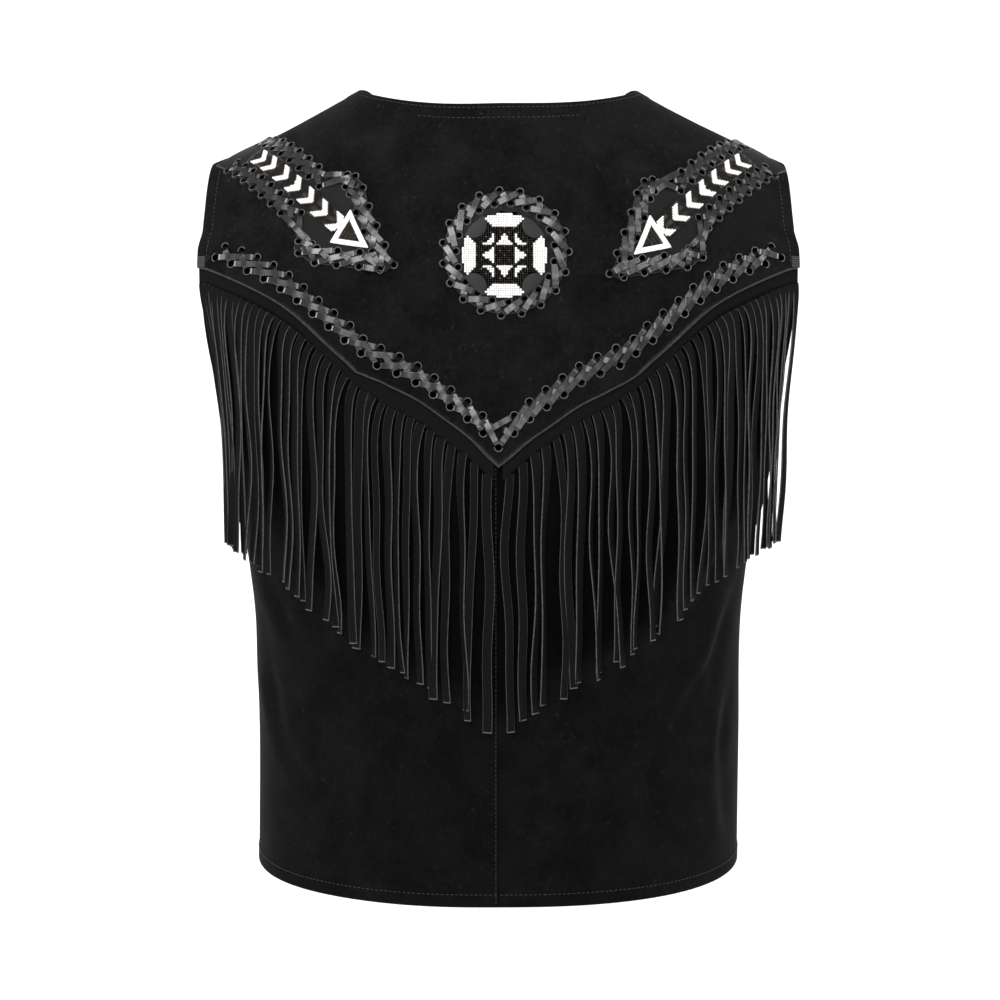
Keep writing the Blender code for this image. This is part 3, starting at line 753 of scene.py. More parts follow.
@dataclass(frozen=True)
class Suede(Finish):
    """Split cowhide, dyed black and brushed.

    Its nap lies in soft clouds of slightly lighter black, with a short fibre and a faint sheen, and
    it is worn paler along turned edges, where a stitched fold also stands up a little.
    """

    dark: str = "#070708"
    light: str = "#181819"
    worn: str = "#4a4a4b"
    fleck: str = "#2a2a2b"
    # Near-black: painted shadow on the suede behind the fringe
    unfaded: str = "#020202"
    cloud_mm: float = 30.0
    nap_mm: float = 2.6
    fibre_mm: float = 0.7

    def shade(self, tree: NodeTree, where: NodeSocket) -> dict[str, object]:
        """Nap in clouds, lifted tufts, painted shadow under the fringe, and folds worn pale."""
        noise = "ShaderNodeTexNoise"
        span = "ShaderNodeMapRange"
        attribute = "ShaderNodeAttribute"
        scale = {"Vector": where, "Scale": 1.0 / (self.cloud_mm * MM), "Detail": 4.0, "Roughness": 0.62}
        clouds = add_node(tree, noise, inputs=scale)
        scale = {"Vector": where, "Scale": 1.0 / (self.nap_mm * MM), "Detail": 3.0, "Roughness": 0.6}
        nap = add_node(tree, noise, inputs=scale)
        scale = {"Vector": where, "Scale": 1.0 / (1.9 * self.nap_mm * MM), "Detail": 5.0, "Roughness": 0.7}
        tufts = add_node(tree, noise, inputs=scale)
        scale = {"Vector": where, "Scale": 1.0 / (self.fibre_mm * MM), "Detail": 2.0}
        fibre = add_node(tree, noise, inputs=scale)
        # The nap's clouds, which the eye takes as brushed suede
        spread = add_node(tree, span, inputs={"Value": clouds, "From Min": 0.38, "From Max": 0.68})
        limits = {"Value": nap, "From Min": 0.3, "From Max": 0.75, "To Min": 0.0, "To Max": 0.55}
        fine = add_node(tree, span, inputs=limits)
        both = add_node(tree, "ShaderNodeMath", {"operation": "MULTIPLY"}, {0: spread, 1: 0.6})
        both = add_node(tree, "ShaderNodeMath", {"operation": "ADD", "use_clamp": True}, {0: both, 1: fine})
        colour = self.blend(tree, both, self.dark, self.light)
        limits = {"Value": tufts, "From Min": 0.61, "From Max": 0.72, "To Min": 0.0, "To Max": 0.8}
        colour = self.blend(tree, add_node(tree, span, inputs=limits), colour, self.fleck)
        # Painted shadow: the suede behind the fringe is darkened towards near-black
        kept = add_node(tree, attribute, {"attribute_name": "covered"}).outputs["Fac"]
        colour = self.blend(tree, kept, colour, self.unfaded)
        # Folds, worn pale in patches
        worn = add_node(tree, attribute, {"attribute_name": "worn"}).outputs["Fac"]
        limits = {"Value": nap, "From Min": 0.3, "From Max": 0.7, "To Min": 0.5, "To Max": 1.0}
        patchy = add_node(tree, span, inputs=limits)
        wear = add_node(tree, "ShaderNodeMath", {"operation": "MULTIPLY"}, {0: worn, 1: patchy})
        colour = self.blend(tree, wear, colour, self.worn)
        # The groove that the stitching pulls in, over nap and fibre
        way = add_node(tree, attribute, {"attribute_name": "edge_way"}).outputs["Fac"]
        off = add_node(tree, "ShaderNodeMath", {"operation": "SUBTRACT"}, {0: way, 1: 1.0})
        off = add_node(tree, "ShaderNodeMath", {"operation": "ABSOLUTE"}, {0: off})
        limits = {"Value": off, "From Min": 0.22, "From Max": 0.0, "To Min": 0.0, "To Max": -0.9}
        groove = add_node(tree, span, {"interpolation_type": "SMOOTHSTEP"}, limits)
        rough = add_node(tree, "ShaderNodeMath", {"operation": "MULTIPLY"}, {0: fibre, 1: 0.35})
        height = add_node(tree, "ShaderNodeMath", {"operation": "ADD"}, {0: nap, 1: rough})
        height = add_node(tree, "ShaderNodeMath", {"operation": "ADD"}, {0: height, 1: groove})
        relief = {"Strength": 0.45, "Distance": 0.5 * MM, "Height": height}
        return {
            "Base Color": colour, "Roughness": 0.95, "Specular IOR Level": 0.06, "Sheen Weight": 0.012,
            "Sheen Roughness": 0.4, "Normal": add_node(tree, "ShaderNodeBump", inputs=relief)
        }


@dataclass(frozen=True)
class CutBand(Finish):
    """Leather cut into bands: a face in one colour and cut edges in another.

    As a strand of suede it is dull with pale raw edges. As a lace it is finished side up, with a
    tight gloss that breaks at each bend and a fine grain drawn out along it; its dark edges are painted
    shade.
    """

    face: str
    edge: str
    roughness: float
    gloss: float
    edge_share: float
    grain_mm: float
    grain: float

    def shade(self, tree: NodeTree, where: NodeSocket) -> dict[str, object]:
        """A face with fine grain, and ragged edges by how far across the band a point lies: cut edges on
        strands, painted shade on the lace.
        """
        scale = {"Vector": where, "Scale": 1.0 / (self.grain_mm * MM), "Detail": 3.0, "Roughness": 0.6}
        grain = add_node(tree, "ShaderNodeTexNoise", inputs=scale)
        across = add_node(tree, "ShaderNodeAttribute", {"attribute_name": "across"}).outputs["Fac"]
        across = add_node(tree, "ShaderNodeMath", {"operation": "ABSOLUTE"}, {0: across})
        limits = {"Value": across, "From Min": self.edge_share, "From Max": 1.0}
        rim = add_node(tree, "ShaderNodeMapRange", {"interpolation_type": "SMOOTHSTEP"}, limits)
        limits = {"Value": grain, "From Min": 0.35, "From Max": 0.65, "To Min": 0.45, "To Max": 1.0}
        ragged = add_node(tree, "ShaderNodeMapRange", inputs=limits)
        rim = add_node(tree, "ShaderNodeMath", {"operation": "MULTIPLY"}, {0: rim, 1: ragged})
        low, high = self.roughness - 0.06, self.roughness + 0.08
        limits = {"Value": grain, "From Min": 0.3, "From Max": 0.7, "To Min": low, "To Max": high}
        relief = {"Strength": self.grain, "Distance": 0.3 * MM, "Height": grain}
        return {
            "Base Color": self.blend(tree, rim, self.face, self.edge),
            "Roughness": add_node(tree, "ShaderNodeMapRange", inputs=limits),
            "Specular IOR Level": self.gloss, "Normal": add_node(tree, "ShaderNodeBump", inputs=relief)
        }


@dataclass(frozen=True)
class SmoothLeather(Finish):
    """Thin finished leather, pressed smooth and dyed through, with fine pores and faint scuffs."""

    dark: str
    light: str
    roughness: float = 0.42
    gloss: float = 0.3
    cloud_mm: float = 6.0
    pore_mm: float = 0.9

    def shade(self, tree: NodeTree, where: NodeSocket) -> dict[str, object]:
        """Slow clouds of tone over fine pores."""
        scale = {"Vector": where, "Scale": 1.0 / (self.cloud_mm * MM), "Detail": 4.0}
        cloud = add_node(tree, "ShaderNodeTexNoise", inputs=scale)
        scale = {"Vector": where, "Scale": 1.0 / (self.pore_mm * MM)}
        pores = add_node(tree, "ShaderNodeTexVoronoi", inputs=scale)
        relief = {"Strength": 0.25, "Distance": 0.15 * MM, "Height": pores}
        return {
            "Base Color": self.blend(tree, cloud, self.dark, self.light), "Roughness": self.roughness,
            "Specular IOR Level": self.gloss, "Normal": add_node(tree, "ShaderNodeBump", inputs=relief)
        }


@dataclass(frozen=True)
class Glass(Finish):
    """Seed beads of opaque glass, tumbled smooth, each a little off the next in shade."""

    dark: str
    light: str
    roughness: float
    lustre: float = 0.0
    shade_mm: float = 2.0

    def shade(self, tree: NodeTree, where: NodeSocket) -> dict[str, object]:
        """A tone that shifts from bead to bead."""
        scale = {"Vector": where, "Scale": 1.0 / (self.shade_mm * MM), "Detail": 1.0}
        shift = add_node(tree, "ShaderNodeTexNoise", inputs=scale)
        limits = {"Value": shift, "From Min": 0.35, "From Max": 0.65}
        spread = add_node(tree, "ShaderNodeMapRange", inputs=limits)
        colour = self.blend(tree, spread, self.dark, self.light)
        return {"Base Color": colour, "Roughness": self.roughness, "Metallic": self.lustre}


@dataclass(frozen=True)
class Paper(Finish):
    """The studio's floor: matt white card with a barely visible tooth."""

    name: str = "matt_white_card"
    tone: str = "#f6f6f6"

    def shade(self, tree: NodeTree, where: NodeSocket) -> dict[str, object]:
        """An even tone over a fine tooth."""
        tooth = add_node(tree, "ShaderNodeTexNoise", inputs={"Vector": where, "Scale": 300.0})
        relief = {"Strength": 0.05, "Distance": 0.2 * MM, "Height": tooth}
        return {
            "Base Color": linear(self.tone), "Roughness": 0.95, "Specular IOR Level": 0.1,
            "Normal": add_node(tree, "ShaderNodeBump", inputs=relief)
        }


class Palette:
    """Every finish on the vest, made once."""

    def __init__(self) -> None:
        """Build the materials."""
        self.suede = Suede("brushed_black_suede").make()
        # The lower panels' suede is a darker copy of the yoke's: painted shade below the yoke
        self.low_suede = Suede("nap_down_black_suede", "#050506", "#121213", fleck="#222223").make()
        self.strand = CutBand("cut_suede_strand", "#131314", "#5e5e5f", 0.92, 0.05, 0.84, 1.6, 0.5).make()
        self.strand_end = SmoothLeather("raw_suede_cut_end", "#3c3c3d", "#6e6e6f", 0.9, 0.1).make()
        # The lace's edges are darker than its face: painted shade between the bands
        self.lace = CutBand("glossy_leather_lace", "#0a0a0b", "#050506", 0.30, 1.0, 0.84, 0.8, 0.10).make()
        self.plate = SmoothLeather("pressed_black_leather", "#0b0b0c", "#171718", 0.6, 0.14).make()
        self.lens = SmoothLeather("smooth_grey_leather", "#1e1e20", "#2c2c2f", 0.5, 0.2).make()
        # Paler than the black leather: the holes' cut lip, painted pale partly as the highlight that the rim
        # catches
        self.lip = SmoothLeather("cut_leather_lip", "#3e3e41", "#78787c", 0.5).make()
        self.rim = SmoothLeather("cut_plate_edge", "#1c1c1e", "#3e3e41", 0.5, 0.2).make()
        # Near-black without gloss: painted shade, inside the holes and under the rosette's beads
        self.shade = SmoothLeather("shaded_hole_leather", "#010101", "#020202", 1.0, 0.0).make()
        thread = CutBand("twisted_polyester_thread", "#303032", "#4a4a4c", 0.55, 0.4, 0.8, 0.5, 0.4)
        self.thread = thread.make()
        self.beads = {
            "white": Glass("opaque_white_seed_bead", "#f2f0ec", "#ffffff", 0.35).make(),
            "black": Glass("lustred_black_seed_bead", "#1a1816", "#2c2824", 0.22, 0.7).make(),
            "bronze": Glass("bronze_lustred_seed_bead", "#3e3932", "#6a6054", 0.22, 0.8).make(),
        }


# Panels


class Edge(Enum):
    """Borders of a panel's grid."""

    TOP = "top"
    BOTTOM = "bottom"
    START = "start"
    END = "end"


def column_levels(
    shares: Array, tops: Array, bottoms: Array, side: Side, steps: Sequence[float], count: int,
    steps_below: Sequence[float] | None = None
) -> Array:
    """Levels down each column of a panel, at fixed distances near both ends and even between.

    Args:
        shares: Share of each column, or of each point where they change down the column.
        tops: Level of each column's top.
        bottoms: Level of each column's foot.
        side: Back or front.
        steps: Distances from the top in millimetres.
        count: Rows between the stepped ends.
        steps_below: Distances from the foot in millimetres, where they differ from steps.

    Returns:
        Levels, rows first.
    """
    near = np.array(steps) * MM
    far = np.array(steps if steps_below is None else steps_below) * MM
    fine = np.linspace(0.0, 1.0, 90)
    columns = []
    for share, top, bottom in zip(shares, tops, bottoms):
        levels = top + (bottom - top) * fine
        points = FIGURE.surface(np.full_like(levels, share), levels, side)[0]
        gone = gone_along(points)
        middle = np.linspace(near[-1], gone[-1] - far[-1], count + 2)[1:-1]
        goals = np.concatenate([near, middle, gone[-1] - far[::-1]])
        columns.append(np.interp(goals, gone, levels))
    return np.array(columns).T


@dataclass(frozen=True)
class Turned:
    """An edge that is folded under and stitched at an inset, and worn paler along its fold."""

    edge: Edge
    inset: float
    choose: Choice | None = None
    wear_width: float = 0.9 * MM
    wear: float = 0.35


@dataclass
class Panel:
    """One cut piece of suede with turned and stitched edges."""

    name: str
    side: Side
    mirror: float
    shares: Array
    levels: Array
    lift: Array | float = 0.0
    turned: Sequence[Turned] = ()
    centre_seam: bool = False
    # Whether the panel gets painted shadow behind the fringe
    covered: bool = False
    fold_rise: float = 0.55 * MM
    rim_radius: float = 0.8 * MM
    thread_height: float = 0.08 * MM
    outer: Array = field(init=False)
    inner: Array = field(init=False)
    normals: Array = field(init=False)
    skin: BVHTree = field(init=False)

    def border(self, grid: Array, edge: Edge) -> Array:
        """The row or column of a grid that lies on an edge."""
        rows = edge in (Edge.TOP, Edge.BOTTOM)
        last = -1 if edge in (Edge.BOTTOM, Edge.END) else 0
        return grid[last] if rows else grid[:, last]

    def build(self) -> Mesh:
        """Shape the panel and return its closed mesh."""
        base, normals = FIGURE.surface(self.shares, self.levels, self.side)
        base[..., 0] *= self.mirror
        normals[..., 0] *= self.mirror
        rim = np.full(base.shape[:-1], 1.0)
        for edge in Edge:
            rim = np.minimum(rim, distance_to(base, dense(self.border(base, edge))))
        way = np.full(base.shape[:-1], 9.0)
        worn = np.zeros(base.shape[:-1])
        for turned in self.turned:
            line = self.border(base, turned.edge)
            if turned.choose is not None:
                line = line[turned.choose(self.border(self.levels, turned.edge))]
            distance = distance_to(base, dense(line))
            way = np.minimum(way, distance / turned.inset)
            fade = ease(turned.wear_width, 0.65 * turned.wear_width, distance)
            worn = np.maximum(worn, turned.wear * fade)
        round_off = np.sqrt(1.0 - (1.0 - np.clip(rim / self.rim_radius, 0.0, 1.0)) ** 2)
        half = SUEDE / 2.0 * (0.12 + 0.88 * round_off)
        fold = self.fold_rise * ease(1.3, 1.02, way) * round_off
        middle = self.lift + DRAPE.rise(base, self.side) - SUEDE / 2.0
        self.outer = base + normals * (middle + half + fold)[..., None]
        self.inner = base + normals * (middle - half)[..., None]
        for grid in (self.outer, self.inner):
            grid[..., 1] = self.side.value * np.maximum(self.side.value * grid[..., 1], 0.0)
            if self.centre_seam:
                grid[..., 0] = self.mirror * np.maximum(self.mirror * grid[..., 0], 0.0)
        self.normals = normals
        rows, columns = base.shape[:2]
        flip = (self.side is Side.BACK) == (self.mirror > 0.0)
        faces = slab_faces(rows, columns, flip)
        points = np.vstack([self.outer.reshape(-1, 3), self.inner.reshape(-1, 3)])
        ways = np.concatenate([way.ravel(), np.maximum(way.ravel(), 3.0)])
        wears = np.concatenate([worn.ravel(), 0.0 * worn.ravel()])
        # Painted shadow on the lower backs, from under the yoke's edge down to near the strands' ends
        below = self.levels - FIGURE.yoke_level(np.broadcast_to(self.shares, self.levels.shape))
        covered = 0.8 * ease(0.50, 0.42, below) * (1.0 if self.covered else 0.0)
        numbers = {"edge_way": ways, "worn": wears, "covered": np.tile(covered.ravel(), 2)}
        face_grid = grid_faces(rows, columns, 0, flip)
        self.skin = BVHTree.FromPolygons(self.outer.reshape(-1, 3).tolist(), face_grid)
        return mesh_from(self.name, points, faces, numbers=numbers)

    def seam(self, edge: Edge, inset: float, choose: Choice | None = None, ends: float = 0.0) -> Track:
        """A row of stitching at an inset from an edge.

        Args:
            edge: Edge that it follows.
            inset: Distance from that edge.
            choose: Picks part of the edge by its levels.
            ends: Length left free at both ends.

        Returns:
            The track of the row on the panel's outer face.
        """
        line = self.border(self.outer, edge)
        normals = self.border(self.normals, edge)
        if choose is not None:
            keep = choose(self.border(self.levels, edge))
            line = line[keep]
            normals = normals[keep]
        along = unit(np.gradient(line, axis=0))
        inward = np.cross(normals, along)
        centre = self.outer.reshape(-1, 3).mean(axis=0)
        if np.sum((centre - line.mean(axis=0)) * inward.mean(axis=0)) < 0.0:
            inward = -inward
        gone = gone_along(line)
        kept = (gone >= ends) & (gone <= gone[-1] - ends)
        return self.laid((line + inward * inset)[kept], self.thread_height)

    def laid(self, spots: Sequence[Array], height: float) -> Track:
        """A track at a height over the outer face, at the places nearest to spots."""
        places = []
        ways = []
        for spot in spots:
            place, normal, _, _ = self.skin.find_nearest(Vector(spot))
            facing = np.array(normal)
            if facing[1] * self.side.value < 0.0:
                facing = -facing
            places.append(np.array(place) + facing * height)
            ways.append(facing)
        return Track(np.array(places), np.array(ways)).squared()


@dataclass
class Suedework:
    """The vest's panels: the yoke over the shoulders, the lower backs and the fronts."""

    palette: Palette
    growers: Growers
    half_girth: float = 0.24
    edge_steps: Sequence[float] = (0.0, 0.25, 0.55, 0.95, 2.2, 4.5, 7.2, 9.2, 11.2)
    hem_inset: float = 9.3 * MM
    neck_inset: float = 3.6 * MM
    yoke_inset: float = 2.1 * MM
    hem_row: float = 9.6 * MM
    second_neck_row: float = 12.6 * MM
    centre_row: float = 1.9 * MM
    bartack: float = 9.0 * MM
    bartack_height: float = 0.45 * MM
    lap_offset: float = 3.8 * MM
    lap_depth: float = 12.0 * MM
    lap_rise: float = 18.0 * MM
    stitch_pitch: float = 3.5 * MM
    stitch_length: float = 2.7 * MM
    stitch_girth: float = 0.55 * MM
    # Columns: share of the way round, how much lower the yoke's edge was sewn there, as a level
    left_drop: Table = (
        (0.0, 0.0), (0.05, -0.007), (0.10, -0.010), (0.25, -0.011), (0.30, -0.0095), (0.35, 0.0035),
        (0.372, 0.0105), (0.41, 0.005), (0.46, 0.003), (0.54, 0.0)
    )
    right_drop: Table = ((0.0, 0.0), (0.29, 0.0), (0.365, 0.011), (0.41, 0.006), (0.47, 0.003), (0.56, 0.0))

    def _near_shares(self) -> Array:
        """Shares at the stepped distances from a panel's upright edge."""
        return np.array(self.edge_steps) * MM / self.half_girth

    def yoke(self) -> Panel:
        """The back yoke, raised over the layers under its V edge."""
        neck = FIGURE.neck_share
        inner = neck * np.sin(np.linspace(0.0, math.pi / 2.0, 34))
        ends = 1.0 - self._near_shares()[::-1]
        half = np.concatenate([inner, np.linspace(neck, ends[0], 40)[1:], ends[1:]])
        shares = np.concatenate([-half[::-1], half[1:]])
        sewn = FIGURE.yoke_level(shares)
        for sign, drop in ((-1.0, self.left_drop), (1.0, self.right_drop)):
            sewn = sewn + between(drop, sign * shares)
        levels = column_levels(shares, FIGURE.neck_edge(shares), sewn, Side.BACK, self.edge_steps, 62)
        grid = np.broadcast_to(shares, levels.shape)
        base = FIGURE.surface(grid, levels)[0]
        edge_way = distance_to(base, dense(base[-1]))
        lift = self.lap_offset * ease(self.lap_depth + self.lap_rise, self.lap_depth, edge_way)
        turned = (
            Turned(Edge.TOP, self.neck_inset, lambda level: level > -0.9995),
            Turned(Edge.START, self.hem_inset), Turned(Edge.END, self.hem_inset),
            Turned(Edge.BOTTOM, self.yoke_inset, None, 1.9 * MM, 0.95)
        )
        return Panel("yoke_suede_shell", Side.BACK, 1.0, grid, levels, lift, turned)

    def lower_back(self, hand: Hand) -> Panel:
        """One lower back, from under the yoke to the hem."""
        steps = self.edge_steps
        near = self._near_shares()
        shares = np.concatenate([near, np.linspace(near[-1], 1.0 - near[-1], 56)[1:-1], 1.0 - near[::-1]])
        tops = FIGURE.lowered(shares, FIGURE.yoke_level(shares), -0.8 * self.lap_depth)
        levels = column_levels(shares, tops, np.ones_like(shares), Side.BACK, (0.0, 0.3, 0.9), 104, steps)
        grid = np.broadcast_to(shares, levels.shape)
        foot = FIGURE.armhole_foot
        turned = (
            Turned(Edge.BOTTOM, self.hem_inset), Turned(Edge.END, self.hem_inset, lambda level: level <= foot)
        )
        name = f"lower_back_{hand.word}_shell"
        return Panel(name, Side.BACK, hand.value, grid, levels, 0.0, turned, True, True)

    def front(self, hand: Hand) -> Panel:
        """One front, with its V neck and straight edge."""
        near = self._near_shares()
        fractions = np.concatenate([near, np.linspace(near[-1], 1.0 - near[-1], 56)[1:-1], 1.0 - near[::-1]])
        one = np.ones(len(fractions))
        levels = column_levels(0.6 * one, -one, one, Side.FRONT, self.edge_steps, 130)
        starts = FIGURE.front_start(levels[:, :1])
        grid = starts + (1.0 - starts) * fractions[None, :]
        foot = FIGURE.armhole_foot
        turned = (
            Turned(Edge.START, self.hem_inset), Turned(Edge.BOTTOM, self.hem_inset),
            Turned(Edge.END, self.hem_inset, lambda level: level <= foot)
        )
        return Panel(f"front_{hand.word}_shell", Side.FRONT, hand.value, grid, levels, 0.0, turned)

    def bartacks(self, yoke: Panel, edge: Edge) -> list[Track]:
        """Close rows of thread that lock the foot of the yoke at an armhole.

        Args:
            yoke: The yoke.
            edge: Its armhole edge.

        Returns:
            The rows' tracks.
        """
        line = yoke.border(yoke.outer, edge)
        gone = gone_along(line[::-1])[::-1]
        sign = 1.0 if edge is Edge.START else -1.0
        tracks = []
        for height in np.arange(1.2 * MM, self.bartack, 1.3 * MM):
            foot = at_distance(-height, -gone, line)
            steps = np.arange(1.0 * MM, self.bartack, 1.0 * MM)
            spots = [foot + np.array([sign * across, -0.4 * across, 0.0]) for across in steps]
            tracks.append(yoke.laid(spots, self.bartack_height))
        return tracks

    def stitches(self, name: str, tracks: Sequence[Track], slot: str) -> Object:
        """Rows of thread along tracks, as one piece."""
        values = {"Pitch": self.stitch_pitch, "Length": self.stitch_length, "Girth": self.stitch_girth}
        values["Finish"] = self.palette.thread
        piece = grown(name, self.growers.stitch, tracks_mesh(name, tracks), values)
        declare(piece, slot)
        return piece

    def dress(self) -> Panel:
        foot = FIGURE.armhole_foot
        slot = "yoke_suede"
        hem = self.hem_inset
        yoke = self.yoke()
        piece = show(yoke.name, yoke.build(), [self.palette.suede])
        rows = [
            yoke.seam(Edge.TOP, self.neck_inset, lambda level: level > -0.985),
            yoke.seam(Edge.TOP, self.second_neck_row, lambda level: level > -0.681),
            yoke.seam(Edge.START, hem, ends=3.0 * MM), yoke.seam(Edge.END, hem, ends=3.0 * MM)
        ]
        bars = tracks_mesh("bartacks", self.bartacks(yoke, Edge.START) + self.bartacks(yoke, Edge.END))
        row = {"Width": 0.95 * MM, "Thickness": 0.5 * MM, "Finish": self.palette.thread}
        tacks = grown("yoke_bartacks", self.growers.band, bars, row, crisp=CRISP)
        declare(tacks, slot)
        thread = self.stitches("yoke_topstitch", rows, slot)
        declare(piece, slot, "back_yoke")
        for hand in Hand:
            for panel, cut in ((self.lower_back(hand), (0.275, 0.47)), (self.front(hand), (0.285, 0.62))):
                piece = show(panel.name, panel.build(), [self.palette.low_suede])
                rows = [
                    panel.seam(Edge.BOTTOM, self.hem_row, ends=2.0 * MM),
                    panel.seam(Edge.END, hem, lambda level: level <= foot, ends=3.0 * MM),
                ]
                if panel.side is Side.FRONT:
                    rows.insert(0, panel.seam(Edge.START, hem, ends=4.0 * MM))
                elif hand is Hand.LEFT:
                    rows.append(panel.seam(Edge.START, self.centre_row, ends=3.0 * MM))
                slot = f"panel_suede_{hand.word}"
                name = panel.name.removesuffix("_shell")
                thread = self.stitches(f"{name}_topstitch", rows, slot)
                declare(piece, slot, name.removeprefix("lower_"))
        return yoke


# Fringe


@dataclass
class Fringe:
    """A strip caught under the yoke's edge, cut below into strands that hang straight."""

    palette: Palette
    growers: Growers
    hand: Hand
    strands: int = 36
    strip_gap: float = 0.8 * MM
    thickness: float = 1.2 * MM
    strip_lap: float = 7.0 * MM
    strip_show: float = 11.0 * MM
    length: float = 200.0 * MM
    share: float = 0.80
    start_share: float = 0.006
    end_share: float = 0.997
    bend: float = 13.0 * MM
    straight_share: float = 0.22
    lean_share: float = 0.55
    left_lean: float = 28.0 * MM
    right_lean: float = 17.0 * MM
    lean_reach: float = 60.0 * MM
    hook: float = 0.42
    clearance: float = 2.0 * MM
    # How far strands differ: spreads of a normal draw, or the limits of an even one
    sway_mm: float = 2.8
    curl_mm: float = 2.2
    ripple_mm: Pair = (0.2, 1.1)
    roll: Pair = (0.15, 0.95)
    twist: float = 0.42
    girths: Pair = (0.80, 1.18)
    seeds: tuple[int, int] = (31, 47)
    end_pale: float = 0.75 * MM
    end_proud: float = 0.06 * MM
    stations: int = 22

    def strip(self) -> Mesh:
        """The uncut strip along the V edge."""
        count = 2 * self.strands * 3 + 1
        shares = np.linspace(self.start_share, self.end_share, count)
        edge = FIGURE.yoke_level(shares)
        steps = (-self.strip_lap, -3.0 * MM, 1.0 * MM, 4.0 * MM, 7.0 * MM, self.strip_show)
        levels = np.array([FIGURE.lowered(shares, edge, distance) for distance in steps])
        base, normals = FIGURE.surface(np.broadcast_to(shares, levels.shape), levels)
        rise = DRAPE.rise(base * np.array([self.hand.value, 1.0, 1.0]), Side.BACK)
        inner = base + normals * (self.strip_gap + rise)[..., None]
        outer = base + normals * (self.strip_gap + self.thickness + rise)[..., None]
        for grid in (inner, outer):
            grid[..., 0] *= self.hand.value
        faces = slab_faces(*levels.shape, self.hand is Hand.RIGHT)
        points = np.vstack([outer.reshape(-1, 3), inner.reshape(-1, 3)])
        return mesh_from("strip", points, faces, numbers={"across": np.zeros(len(points))})

    def strand(self, index: int, rng: np.random.Generator) -> Track:
        """The path of one strand."""
        pitch = (self.end_share - self.start_share) / self.strands
        left = self.start_share + pitch * index
        middle = left + pitch / 2.0
        edge = FIGURE.yoke_level(np.array([middle]))
        root_level = FIGURE.lowered(np.array([middle]), edge, self.strip_show - 0.8 * MM)
        spot, outward = FIGURE.surface(np.array([middle]), root_level)
        rise = DRAPE.rise(spot * np.array([self.hand.value, 1.0, 1.0]), Side.BACK)
        root = (spot + outward * (self.strip_gap + self.thickness / 2.0 - 0.12 * MM + rise)[..., None])[0]
        outward = outward[0]
        sides = np.array([left, left + pitch])
        side_level = FIGURE.lowered(sides, FIGURE.yoke_level(sides), self.strip_show)
        ends = FIGURE.surface(sides, side_level)[0]
        across = unit(ends[1] - ends[0])
        down = unit(np.cross(across, outward))
        if down[2] > 0.0:
            down = -down
        plumb = np.array([0.0, 0.0, -1.0])
        slant = min(left / self.straight_share, 1.0)
        down = unit(plumb * (1.0 - slant) + down * slant)
        down = unit(down + across * self.hook * float(ease(0.40, 0.75, left)))
        length = self.length - self.strip_show + rng.uniform(-2.5, 0.5) * MM
        sway = rng.normal(0.0, self.sway_mm) * MM
        curl = rng.normal(0.0, self.curl_mm) * MM
        wave = rng.uniform(0.0, 2.0 * math.pi)
        ripple = rng.uniform(*self.ripple_mm) * MM
        lift = ((index * 2) % 3) * 1.6 * MM + rng.uniform(0.0, 1.4) * MM
        roll = rng.uniform(*self.roll)
        twist = rng.normal(0.0, self.twist)
        lean = self.left_lean if self.hand is Hand.LEFT else self.right_lean
        lean *= -max((left - self.lean_share) / (1.0 - self.lean_share), 0.0) ** 2
        lean -= 2.0 * MM * max(1.0 - left / 0.08, 0.0)
        flat = unit(np.array([outward[0], outward[1], 0.0]))
        hung = np.array([-flat[1], flat[0], 0.0])
        if np.dot(hung, across) < 0.0:
            hung = -hung
        gone = length * np.linspace(0.0, 1.0, self.stations) ** 1.35
        places = []
        facing = []
        place = root.copy()
        for k, distance in enumerate(gone):
            step = distance - (gone[k - 1] if k else 0.0)
            settle = 1.0 - math.exp(-distance / self.bend)
            path = unit(down * (1.0 - settle) + plumb * settle)
            place = place + path * step
            way = distance / length
            drift = sway * way + curl * math.sin(wave + 5.0 * way) * way
            drift += ripple * (math.sin(2.0 * wave + 12.0 * way) - math.sin(2.0 * wave))
            spot = place + hung * drift
            spot[0] += lean * (1.0 - math.exp(-distance / self.lean_reach))
            heights = np.linspace(root[2], spot[2], 9)
            depth = float(FIGURE.back_depth(np.full(9, spot[0]), heights).max())
            stand = self.strip_gap + self.thickness / 2.0 + self.clearance * settle
            place[1] = min(place[1], -depth - stand)
            spot[1] = place[1]
            spot = spot + flat * lift * way**2
            turn = roll * (1.0 - math.exp(-distance / (1.6 * self.bend)))
            turn += twist * math.sin(wave + 3.0 * way) * way
            way_out = unit(outward * (1.0 - settle) + flat * settle)
            facing.append(way_out * math.cos(turn) + hung * math.sin(turn))
            places.append(spot)
        flipped = np.array([self.hand.value, 1.0, 1.0])
        girth = np.full(self.stations, rng.uniform(*self.girths))
        return Track(np.array(places) * flipped, np.array(facing) * flipped, girth).squared()

